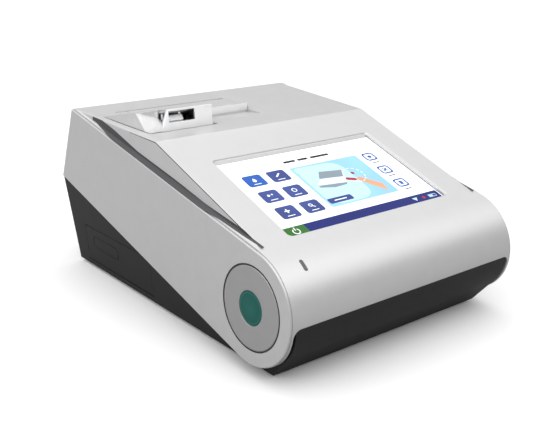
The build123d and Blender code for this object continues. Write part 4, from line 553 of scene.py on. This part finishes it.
def side_x(y, z):
    """The side face spreads to the rear and leans in going up."""
    return -(111.68 + 0.03 * (y + 117.5) - 0.042 * (z - 50.1))


def skin(columns, ways, proud=0.08, thick=0.3):
    """Closed plate: each station's loop goes over the outer points and back under them."""
    outer = [column + proud * np.array(way) for column, way in zip(columns, ways)]
    inner = [column - thick * np.array(way) for column, way in zip(columns, ways)]
    loops = np.stack(outer + inner[::-1], 1)
    count, total = loops.shape[1], loops.shape[0] * loops.shape[1]
    caps = [list(range(count)), list(range(total - count, total))]
    return loops.reshape(-1, 3), walls(count, len(loops)) + caps


def both_sides(name, points, faces, material):
    """The piece and its mirror image, riding on the casing."""
    return [piece(side + name, points * (sign * MM, MM, MM), faces, material)
            for side, sign in (("left_", 1), ("right_", -1))]


flank_way = (-0.988, -0.06, 0.14)
print("deck at the crease", float(deck(9.5)), "ridge", round(float(ridge(9.5)), 1))

# %% Flank
along = np.linspace(103.0, -111.5, 40)
foot = ridge(along) + 1.75
top = np.maximum(deck(along) - 1.0, foot + 0.1)
flanks = both_sides("flank", *skin([np.stack([flank_x(along, z), along, z], -1) for z in (foot, top)],
                                   [flank_way, flank_way], thick=0.2), cover_paint)
print("flanks", [made.name for made in flanks])

# %% [markdown]
# The dark band starts at the rear as a point, widens over the bevel behind the rim, and thins to a
# point on the nose. Two curves over the length say so: how far it keeps from the rim, as a share
# of the bevel's width, and how high it climbs the flank, in millimetres.

# %% Groove band
bevel_wide, bevel_high, rim_left, below_deck = 4.5, 1.8, 0.3, 2.3
along = np.linspace(104.0, -122.0, 60)
low = ridge(along)
share = np.interp(along, (-122, -105, -80, -58, 66, 80, 104), (1.0, 0.7, 0.45, 0.0, 0.0, 0.35, 1.0))
climb = np.interp(along, (-122, -105, -80, -58, -42, -20, 33, 50, 69, 80),
                  (0.0, 2.0, 0.9, 0.2, 0.7, 1.3, 1.5, 3.0, 4.6, 5.0))
climb = np.minimum(climb, np.maximum(deck(along) - low - below_deck, 0.05))
corner_x = flank_x(along, low + bevel_high)
edge_x = np.minimum(side_x(along, low) + rim_left + share * (bevel_wide - rim_left), corner_x)
bevel_x = np.minimum(side_x(along, low) + bevel_wide, corner_x)
edge_z = low + bevel_high * (edge_x - side_x(along, low)) / bevel_wide
climb_z = low + bevel_high + 0.1 + climb
columns = [np.stack([x, along, z], -1) for x, z in (
    (edge_x, edge_z), (bevel_x, low + bevel_high), (corner_x, low + bevel_high),
    (flank_x(along, climb_z), climb_z))]
ways = [(-0.35, -0.2, 0.91), (-0.35, -0.2, 0.91), (-0.7, -0.15, 0.8), (-1.5, -0.1, 0.2)]
bands = both_sides("groove_band", *skin(columns, ways, 0.1), strip_grey)
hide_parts("left_trim_strip")
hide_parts("right_trim_strip")
print("bands", len(bands[0].data.polygons), "faces each")

# %% Painted shade of the seam along the flank's top
# A thin black strip on the flank at the deck's edge: painted shade in the seam.
along = np.linspace(46.0, -118.0, 50)
half = np.interp(along, (-118, -100, 10, 46), (0.12, 0.26, 0.26, 0.12))
seam_z = deck(along) - 0.95
seam_shades = both_sides("flank_seam_shade", *skin(
    [np.stack([flank_x(along, z), along, z], -1) for z in (seam_z - half, seam_z + half)],
    [flank_way, flank_way], 0.14, 0.2), inner_black)
print("seam_shades", len(seam_shades))

# %% [markdown]
# The printer cover is a low wedge: its roof falls from the raised front to the hinge, and at the
# left it runs out in a ramp and a steep flank near the edge of the deck. The solid model stops
# short of that, so a shell of plain faces goes over it and swings with the cover.

# %% Hood over the printer cover
def roof(y):
    """The roof falls evenly from the front edge to the hinge."""
    return 155.6 - 0.2087 * (y - 31.8)


hood_right = -40.6
corners = np.array([
    (-97.9, 30.2, 138.9), (-88.3, 30.25, 138.9), (-86.3, 30.8, 142.9), (-99.1, 36.4, 139.2),
    (-85.9, 36.4, 145.0), (-84.6, 41.2, 147.0), (-96.8, 55.7, roof(55.7)), (-84.5, 40.9, roof(40.9)),
    (-104.6, 97.2, 142.0), (-83.4, 97.2, 142.05), (-83.4, 97.2, 141.9)])
shoulder = corners, [
    [0, 3, 8, 10, 1], [3, 6, 8], [6, 7, 9, 8], [8, 9, 10], [0, 2, 3], [3, 2, 4], [3, 4, 6], [4, 5, 6],
    [5, 7, 6], [0, 1, 2], [1, 2, 4, 5, 7, 9, 10]]
outline = np.array([
    (33.4, roof(33.4)), (52.3, roof(52.3)), (97.2, roof(97.2)), (97.2, 141.6), (76.6, 140.6),
    (62.8, 145.0), (52.3, 148.4), (33.4, 154.85)])
left_end = np.where(outline[:, 0] < 40, -82.3, -83.5)
wedge_points = np.concatenate([np.column_stack([left_end, outline]),
                               np.column_stack([np.full(8, hood_right), outline])])
wedge = wedge_points, walls(8, 2) + [list(range(8)), list(range(8, 16))]
hood_points, hood_faces = join([shoulder, wedge])
piece("printer_hood", hood_points * MM, hood_faces, cover_paint, body="printer_lid")
print("hood", len(hood_faces), "faces")

# %% Painted shade in the gap round the hood
# Flat black strips on the deck along the hood's flank and front edge: painted shade of the gap.
run = np.linspace(0.0, 1.0, 24)[:, None]
line = np.array((-98.6, 33.0)) + run * np.array((-5.6, 62.0))
half = 0.75 * np.sin(np.pi * (0.12 + 0.76 * run[:, 0]))
sides = [np.column_stack([line[:, 0] + way * half, line[:, 1], deck(line[:, 1])]) for way in (-1, 1)]
front = np.linspace(-97.6, hood_right, 24)
strips = [np.column_stack([front, np.full(24, y), deck(np.full(24, y))]) for y in (29.75, 30.2)]
upward = [(0, 0, 1)] * 2
gap_shade_points, gap_shade_faces = join([skin(sides, upward, 0.06, 0.2), skin(strips, upward, 0.04, 0.2)])
piece("printer_hood_gap_shade", gap_shade_points * MM, gap_shade_faces, inner_black)
print("gap", len(gap_shade_faces), "faces")

# %% [markdown]
# ## The plane of the touch screen
# The drawing on the screen has to lie on the glass, wherever that is. The faces of the glass that
# look up and forward give a normal, and the outermost of them a middle. Two directions in that
# plane, across and up, turn millimetres on the screen into places in space.

# %% Screen plane
def top_plane(name, towards):
    """Middle and normal of a node's faces that look in a direction."""
    mesh = nodes[name].data
    count = len(mesh.polygons)
    normals, centres, areas = np.zeros(count * 3), np.zeros(count * 3), np.zeros(count)
    mesh.polygons.foreach_get("normal", normals)
    mesh.polygons.foreach_get("center", centres)
    mesh.polygons.foreach_get("area", areas)
    normals, centres = normals.reshape(-1, 3), centres.reshape(-1, 3)
    chosen = normals @ np.array(towards, float) > 0.9
    normal = (normals[chosen] * areas[chosen, None]).sum(0)
    normal /= np.linalg.norm(normal)
    high = chosen & (centres @ normal > (centres[chosen] @ normal).max() - 0.0001)
    low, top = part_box(name)
    middle = np.array((low + top) / 2)
    middle += normal * ((centres[high] @ normal).mean() - middle @ normal)
    return middle, normal


screen_middle, screen_normal = top_plane("touch_glass", (0, -0.33, 0.944))
screen_across = np.array([1.0, 0.0, 0.0])
screen_up = np.cross(screen_normal, screen_across)


def on_screen(points):
    """Millimetres across, up and out of the screen, as places in the frame."""
    return screen_middle + MM * (points[:, 0:1] * screen_across + points[:, 1:2] * screen_up
                                 + points[:, 2:3] * screen_normal)


print("screen middle", screen_middle.round(4), "normal", screen_normal.round(3))

# %% [markdown]
# ## The lit picture
# The display is bonded to the glass, so its picture seems to lie on the surface. Each colour of
# the picture is a very thin plate, a few hundredths of a millimetre thick, that glows a little
# and shines like the glass round it. Plates stay sharp from any distance, where a pattern blurs.

# %% Lit glass
def lit(name, colour, glow=0.3, fade=0.9):
    """Glossy surface of the display in one colour: it glows, and finger marks dull its shine."""
    material, tree, place = blank(name)
    touched = use(tree, marks, place).outputs["Mask"]
    cells = wire(tree, "ShaderNodeTexNoise", {"Vector": place, "Scale": 25.0, "Detail": 1.0})
    shade = tuple(c * fade for c in colour)
    body = blend(tree, spread(tree, cells.outputs[0], 0.0, 1.0, 0.4, 0.6), (*shade, 1), (*colour, 1))
    return ended(material, {
        "Base Color": body, "Roughness": spread(tree, touched, 0.08, 0.3),
        "Emission Color": (*colour, 1), "Emission Strength": glow, "Specular IOR Level": 0.15})


lit_white = lit("lit_white", (0.82, 0.83, 0.84), 0.32, 0.99)
lit_navy = lit("lit_navy", (0.005, 0.012, 0.125))
lit_slate = lit("lit_slate", (0.036, 0.060, 0.225), fade=0.75)
lit_azure = lit("lit_azure", (0.014, 0.082, 0.35), fade=0.75)
lit_sky = lit("lit_sky", (0.235, 0.46, 0.72), fade=1.1)
lit_pale = lit("lit_pale", (0.40, 0.59, 0.74), fade=1.05)
lit_green = lit("lit_green", (0.026, 0.125, 0.020))
lit_ink = lit("lit_ink", (0.010, 0.012, 0.018), 0.1)
lit_steel = lit("lit_steel", (0.20, 0.25, 0.29))
lit_red = lit("lit_red", (0.36, 0.018, 0.03))
lit_skin = lit("lit_skin", (0.62, 0.30, 0.17))
dress(lit_white, "touch_glass")
dress(lit("panel_back", (0.20, 0.21, 0.23), 0.0), "lcd_module")
print("lit colours ready")

# %% [markdown]
# The home page of the screen has six round-cornered keys in two columns, a pale blue field with a
# drawing, three outlined signs at the right and a dark bar along the bottom. The signs are plain
# ones that any such device might show, such as a drop, a ring, a cross and a lens. Plates on the
# glass begin a little under its face. Each layer ends a hair above the one below, so no two
# colours share a plane.

# %% Bevel and face
def draw(name, parts, material):
    """Plates of one colour, joined and laid on the screen."""
    points, faces = join(parts)
    return piece(name, on_screen(points), faces, material)


sunk = -0.1
bevel_line = np.array([(46.6, 0.02), (48.7, 0.02), (48.7, 1.95), (49.85, 3.12)])
bevel_points = np.concatenate([np.column_stack([np.full(4, x), bevel_line]) for x in (-77.4, 77.4)])
bevel = draw("window_bevel", [(bevel_points, walls(4, 2) + [[0, 1, 2, 3], [4, 5, 6, 7]])], cover_paint)
face = draw("screen_face", [slab(rounded_loop(157.2, 98.2, 3.0), 0.015, sunk)], lit_white)
print("bevel", len(bevel.data.polygons), "faces, screen", len(face.data.polygons))

# %% Keys
key_places = [(x, y) for y in (19.8, -1.2, -21.8) for x in (-58.8, -36.6)]
key_loop = rounded_loop(16.6, 14.2, 2.4)
keys = draw("screen_keys", [slab(key_loop + place, 0.03, sunk) for place in key_places[1:]], lit_slate)
draw("screen_first_key", [slab(key_loop + key_places[0], 0.03, sunk)], lit_azure)
print("keys", len(keys.data.polygons), "faces")

# %% Signs on the keys
sign_top = 0.05
bar = rounded_loop(6.6, 0.7, 0.3)
places = [np.array(place) + (0, 1.2) for place in key_places]
lens_place = places[5] + (-0.4, 0.4)
signs = [slab(bar + (x, y - 4.3), sign_top) for x, y in key_places]
signs += [
    slab(drop_loop(2.4) + places[0] + (0, -0.4), sign_top),
    slab(turned(rounded_loop(6.0, 1.3, 0.6), 40) + places[1], sign_top),
    slab(round_loop(1.2) + places[2] + (-1.6, 0), sign_top),
    slab(round_loop(0.8) + places[2] + (1.8, 0.6), sign_top),
    frame_slab(round_loop(2.3) + places[3], round_loop(1.6) + places[3], sign_top),
    slab(rounded_loop(1.1, 4.6, 0.4) + places[4], sign_top),
    slab(rounded_loop(4.6, 1.1, 0.4) + places[4], sign_top + 0.005),
    frame_slab(round_loop(1.8) + lens_place, round_loop(1.1) + lens_place, sign_top),
    slab(turned(rounded_loop(2.4, 0.8, 0.3), -45) + places[5] + (1.6, -1.6), sign_top)]
draw("screen_key_signs", signs, lit_white)
print("signs", len(signs))

# %% Pale field
draw("screen_field", [slab(rounded_loop(69.0, 54.2, 2.2) + (12.0, -1.3), 0.02, sunk)], lit_sky)
glow_field = draw("screen_field_glow", [
    slab(rounded_loop(44.0, 50.0, 12.0, 10) + (2.0, -1.5), 0.028),
    slab(rounded_loop(20.0, 8.0, 3.0) + (-10.0, 20.0), 0.030)], lit_pale)
print("glow", len(glow_field.data.polygons), "faces")

# %% [markdown]
# The drawing in the field explains the slot: a block with a slit, a card that goes into it, and a
# ring of dashes round the place where they meet. The ring is one loop cut into even pieces.

# %% Loops of the drawing
def polygon(*corners):
    """A plain loop through the given corners, against the clock."""
    loop = np.array(corners, float)
    ahead = np.roll(loop, -1, 0)
    area = (loop[:, 0] * ahead[:, 1] - loop[:, 1] * ahead[:, 0]).sum()
    return loop if area > 0 else loop[::-1]


def dashes(radius, thick, count, share, steps=5):
    """A circle of dashes: each is a strip of the ring between two angles, a share of its pitch."""
    parts = []
    for start in np.arange(count) * 2 * np.pi / count:
        angles = np.linspace(start, start + share * 2 * np.pi / count, steps)
        ray = np.stack([np.cos(angles), np.sin(angles)], -1)
        parts.append(np.concatenate([ray * (radius + thick / 2), ray[::-1] * (radius - thick / 2)]))
    return parts


ring_dashes = dashes(9.4, 0.7, 14, 0.55)
print("dashes", len(ring_dashes))

# %% Drawing in the field
draw("screen_block", [
    slab(polygon((-1.6, 14.6), (19.4, 11.4), (15.0, 3.2), (-7.4, 6.0)), 0.036),
    slab(polygon((-14.2, -1.6), (11.8, -4.6), (10.6, -6.8), (-2.0, -7.4), (-14.4, -4.2)), 0.036)],
    lit_steel)
draw("screen_sheet", [slab(polygon((-7.4, 5.2), (15.0, 2.4), (11.8, -3.8), (-14.0, -0.8)), 0.034)],
     lit_white)
draw("screen_ring", [slab(loop + (25.0, 2.0), 0.044) for loop in ring_dashes], lit_white)
draw("screen_card", [
    slab(turned(rounded_loop(9.0, 3.6, 1.2), -24) + (18.6, -2.0), 0.046),
    slab(round_loop(1.7) + (25.6, 4.6), 0.046)], lit_red)
finger_loop = polygon((22.5, -3.2), (27.5, -1.2), (31.5, -5.6),
                      (40.5, -15.5), (38.6, -25.0), (29.5, -13.4))
draw("screen_finger", [slab(finger_loop, 0.042)], lit_skin)
button_place = (-8.8, -21.5)
draw("screen_field_button", [slab(rounded_loop(23.4, 6.2, 1.6) + button_place, 0.036)], lit_slate)
draw("screen_field_label", [slab(rounded_loop(12.0, 1.0, 0.4) + button_place, 0.05)], lit_white)
print("finger corners", len(finger_loop))

# %% Signs at the right
side_places = ((57.8, 20.0), (57.3, 0.1), (56.9, -19.5))
draw("screen_side_signs", [
    frame_slab(rounded_loop(11.6, 10.8, 2.6) + place, rounded_loop(8.4, 7.6, 1.4) + place, 0.03, sunk)
    for place in side_places], lit_azure)
draw("screen_side_marks", [
    slab(round_loop(1.9) + side_places[0], 0.034),
    slab(turned(rounded_loop(6.0, 1.3, 0.5), 45) + side_places[1], 0.034),
    slab(turned(rounded_loop(6.0, 1.3, 0.5), -45) + side_places[1], 0.036),
    slab(rounded_loop(3.4, 4.6, 0.6) + side_places[2], 0.034)], lit_azure)
captions = [slab(rounded_loop(7.0, 1.0, 0.4) + (x, y - 8.6), 0.03, sunk) for x, y in side_places]
captions += [slab(rounded_loop(width, 2.6, 0.9) + (x, 34.2), 0.03, sunk)
             for width, x in ((11.5, -15.6), (10.0, -2.4), (19.0, 15.0))]
draw("screen_captions", captions, lit_ink)
print("captions", len(captions))

# %% Bottom bar
draw("screen_bar", [slab(rounded_loop(154.4, 10.2, 1.2) + (0.0, -42.5), 0.03, sunk)], lit_navy)
draw("screen_power_key", [slab(rounded_loop(19.6, 10.2, 1.2) + (-67.4, -42.5), 0.036)], lit_green)
arc = np.linspace(math.radians(125), math.radians(415), 28)
ray = np.stack([np.cos(arc), np.sin(arc)], -1)
draw("screen_power_sign", [
    slab(np.concatenate([ray * 3.1, ray[::-1] * 2.3]) + (-67.2, -42.8), 0.044),
    slab(rounded_loop(0.8, 3.4, 0.3) + (-67.2, -40.2), 0.044)], lit_white)
charge_place = (69.6, -42.4)
draw("screen_status", [
    slab(polygon((48.4, -40.4), (53.8, -40.4), (51.1, -44.4)), 0.044),
    frame_slab(rounded_loop(8.2, 3.4, 0.6) + charge_place,
               rounded_loop(7.2, 2.4, 0.3) + charge_place, 0.044),
    slab(rounded_loop(4.0, 1.8, 0.2) + (68.2, -42.4), 0.044)], lit_pale)
draw("screen_alert", [slab(round_loop(1.5) + (60.0, -42.4), 0.044)], lit_red)
print("arc points", len(arc))

# %% [markdown]
# ## Badges
# The badge in the middle of each round end is a teal plastic lens, slightly domed, with a clear
# coat. A flat disc would look printed. The dome is a set of rings: the further in, the higher,
# as a circle's arc rises, with a small rounded shoulder at the rim.

# %% Badge material
def badge_finish(name, middle):
    """Deep teal with a clear coat: it pales towards the middle, with one fine ring near the rim."""
    material, tree, place = blank(name)
    offset = wire(tree, "ShaderNodeVectorMath", {0: place, 1: tuple(middle)}, operation="SUBTRACT")
    far = wire(tree, "ShaderNodeVectorMath", {0: offset.outputs[0]}, operation="LENGTH").outputs["Value"]
    cloud = use(tree, grain, place, {"Size mm": 1.5})
    centre = calc(tree, "ADD", spread(tree, far, 0.75, 0.0, 0.0, 0.011),
                  calc(tree, "MULTIPLY", cloud.outputs["Tone"], 0.25), clamp=True)
    ring = calc(tree, "MULTIPLY", spread(tree, far, 0.0, 1.0, 0.0103, 0.0106),
                spread(tree, far, 1.0, 0.0, 0.0107, 0.0110))
    body = blend(tree, centre, (0.003, 0.070, 0.058, 1), (0.006, 0.115, 0.095, 1))
    body = blend(tree, ring, body, (0.015, 0.17, 0.145, 1))
    touched = use(tree, marks, place).outputs["Mask"]
    return ended(material, {
        "Base Color": body, "Roughness": spread(tree, touched, 0.3, 0.45), "Specular IOR Level": 0.2,
        "Coat Weight": 0.2, "Coat Roughness": 0.08})


# %% Domed badges
def round_face(name, side):
    """Middle, radius and three directions of a disc's outer face: level, upright and outwards."""
    low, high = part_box(name)
    middle, normal = top_plane(name, (side, 0, 0))
    across = np.cross(normal, (0, 0, 1.0))
    across /= np.linalg.norm(across)
    return middle, (high.y - low.y) / 2, np.stack([across, np.cross(normal, across), normal])


def dome(name, side, rise_mm=0.35, steps=64):
    """Rings over a disc: at a share s of the radius the height is rise times (1 - s squared), and the
    last rings fall down a quarter circle to the edge and close underneath."""
    low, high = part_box(name)
    middle, radius, (across, rise_up, normal) = round_face(name, side)
    depth = (high.x - low.x) * 0.6
    shoulder = np.linspace(0.2, 1.57, 6)
    share = np.concatenate([np.linspace(0.06, 0.94, 14), 0.94 + 0.06 * np.sin(shoulder)])
    height = rise_mm * MM * (1 - share ** 2)
    fall = np.concatenate([np.zeros(14), 0.25 * MM * (1 - np.cos(shoulder))])
    share, height = np.append(share, [1.0, 0.0001]), np.append(height - fall, [-depth, -depth])
    angles = np.linspace(0, 2 * np.pi, steps, endpoint=False)
    ray = np.cos(angles)[:, None] * across + np.sin(angles)[:, None] * rise_up
    rings = middle + share[:, None, None] * radius * ray[None] + height[:, None, None] * normal
    points = rings.reshape(-1, 3)
    faces = walls(steps, len(share))
    faces += [list(range(steps))[::-1], list(range(len(points) - steps, len(points)))]
    made = piece(name + "_dome", points, faces, badge_finish(name + "_teal", middle), smooth=True)
    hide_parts(name)
    return made


for badge_name, badge_side in (("left_badge", -1), ("right_badge", 1)):
    badge = dome(badge_name, badge_side)
    print(badge.name, [round(v, 4) for v in badge.bound_box[0]])

# %% Painted shade in the gap round each disc
for disc_name, disc_side in (("left_disc", -1), ("right_disc", 1)):
    middle, radius, directions = round_face(disc_name, disc_side)
    radius_mm = radius / MM
    # A thin black ring over the gap between disc and panel: painted shade of the gap.
    outer_loop, inner_loop = round_loop(radius_mm + 0.6, 96), round_loop(radius_mm - 0.05, 96)
    ring_points, ring_faces = frame_slab(outer_loop, inner_loop, 0.03, -0.25)
    disc_gap_shade = piece(disc_name + "_gap", middle + MM * ring_points @ directions, ring_faces, inner_black)
    print(disc_gap_shade.name, "radius", round(radius_mm, 2))

# %% [markdown]
# ## Small windows
# The slit on the nose is a smoked lens with rows of tiny prisms, and the window of the bar code
# reader at the right is dark red. Both are glossy and nearly black, so the shine makes them.

# %% Lens and reader window
def lens_finish(name, colour, deep, pitch_mm):
    """Dark glossy plastic with rows of small prisms under the surface."""
    material, tree, place = blank(name)
    prisms = wire(tree, "ShaderNodeTexVoronoi",
                  {"Vector": place, "Scale": 1000.0 / pitch_mm, "Randomness": 0.0})
    body = blend(tree, spread(tree, prisms.outputs[0], 1.0, 0.0, 0.1, 0.6), (*deep, 1), (*colour, 1))
    relief = wire(tree, "ShaderNodeBump",
                  {"Strength": 0.4, "Distance": 0.05 * MM, "Height": prisms.outputs[0]})
    touched = use(tree, marks, place).outputs["Mask"]
    return ended(material, {
        "Base Color": body, "Roughness": spread(tree, touched, 0.15, 0.4), "Normal": relief.outputs[0],
        "Coat Weight": 0.8, "Coat Roughness": 0.04})


dress(lens_finish("smoked_lens", (0.05, 0.05, 0.055), (0.012, 0.012, 0.014), 1.0), "indicator_lens")
dress(lens_finish("reader_glass", (0.07, 0.008, 0.010), (0.02, 0.002, 0.003), 2.0), "scanner_window")
print("windows dressed")

# %% [markdown]
# ## The studio
# A catalogue picture is taken in a white room that is brighter overhead than at the sides. The
# room is the world colour, and a brighter zone in front and above gives the soft band on the nose.
# A box at the left lights the side, and a low narrow one the front of the printer cover. The
# floor is pale and matt and sends little light back, so the underside of the nose stays dark.

# %% Floor
floor_material, floor_tree, floor_place = blank("studio_floor")
floor_cloud = wire(floor_tree, "ShaderNodeTexNoise",
                   {"Vector": floor_place, "Scale": 3.0, "Detail": 2.0})
floor_seen = wire(floor_tree, "ShaderNodeLightPath").outputs["Is Camera Ray"]
floor_tone = blend(floor_tree, floor_cloud.outputs[0], (0.84, 0.84, 0.84, 1), (0.86, 0.86, 0.86, 1))
floor_colour = blend(floor_tree, floor_seen, (0.32, 0.32, 0.32, 1), floor_tone)
ended(floor_material, {"Base Color": floor_colour, "Roughness": 0.6, "Specular IOR Level": 0.2})
floor_mesh = bpy.data.meshes.new("floor")
far = 9
floor_corners = [(-far, -far, 0), (far, -far, 0), (far, far, 0), (-far, far, 0)]
floor_mesh.from_pydata(floor_corners, [], [(0, 1, 2, 3)])
floor_mesh.materials.append(floor_material)
floor = bpy.data.objects.new("floor", floor_mesh)
bpy.context.scene.collection.objects.link(floor)
print("floor", len(floor_mesh.vertices), "corners")

# %% Lights and room
def soft_box(name, place, target, size, power):
    """A rectangular area light that looks at a point."""
    data = bpy.data.lights.new(name, "AREA")
    data.shape = "RECTANGLE"
    data.size, data.size_y = size
    data.energy = power
    lamp = bpy.data.objects.new(name, data)
    lamp.location = place
    lamp.rotation_euler = (Vector(target) - Vector(place)).to_track_quat("-Z", "Y").to_euler()
    bpy.context.scene.collection.objects.link(lamp)
    return lamp


soft_box("left_box", (-1.6, 0.25, 0.75), (-0.1, 0.0, 0.06), (1.2, 1.0), 10.0)
low_box = soft_box("low_box", (-0.045, -0.9, 0.149), (-0.045, 0.03, 0.149), (0.16, 0.012), 0.009)
low_box.data.spread = math.radians(2)
world = bpy.data.worlds.new("white_room")
world.use_nodes = True
room = world.node_tree
ray_way = wire(room, "ShaderNodeTexCoord").outputs["Generated"]
parts_of_way = wire(room, "ShaderNodeSeparateXYZ", {0: ray_way}).outputs
rearward, steep = parts_of_way[1], parts_of_way[2]
in_front = spread(room, rearward, 1.0, 0.0, -0.35, 0.05)
overhead = spread(room, steep, 0.40, 1.45, 0.3, 0.78)
glow = calc(room, "MULTIPLY", spread(room, steep, 0.0, 0.8, 0.34, 0.50), in_front)
sent = calc(room, "ADD", overhead, glow)
seen = wire(room, "ShaderNodeLightPath").outputs["Is Camera Ray"]
room.links.new(calc(room, "MAXIMUM", sent, seen), room.nodes["Background"].inputs["Strength"])
room.nodes["Background"].inputs["Color"].default_value = (1.0, 1.0, 1.0, 1)
bpy.context.scene.world = world
bpy.context.scene.view_settings.view_transform = "Standard"

# %% [markdown]
# ## End of the scene
# The new pieces must stay inside the solid model's box, because the sizes belong to the solids.

# %% Sizes
print("scene built")
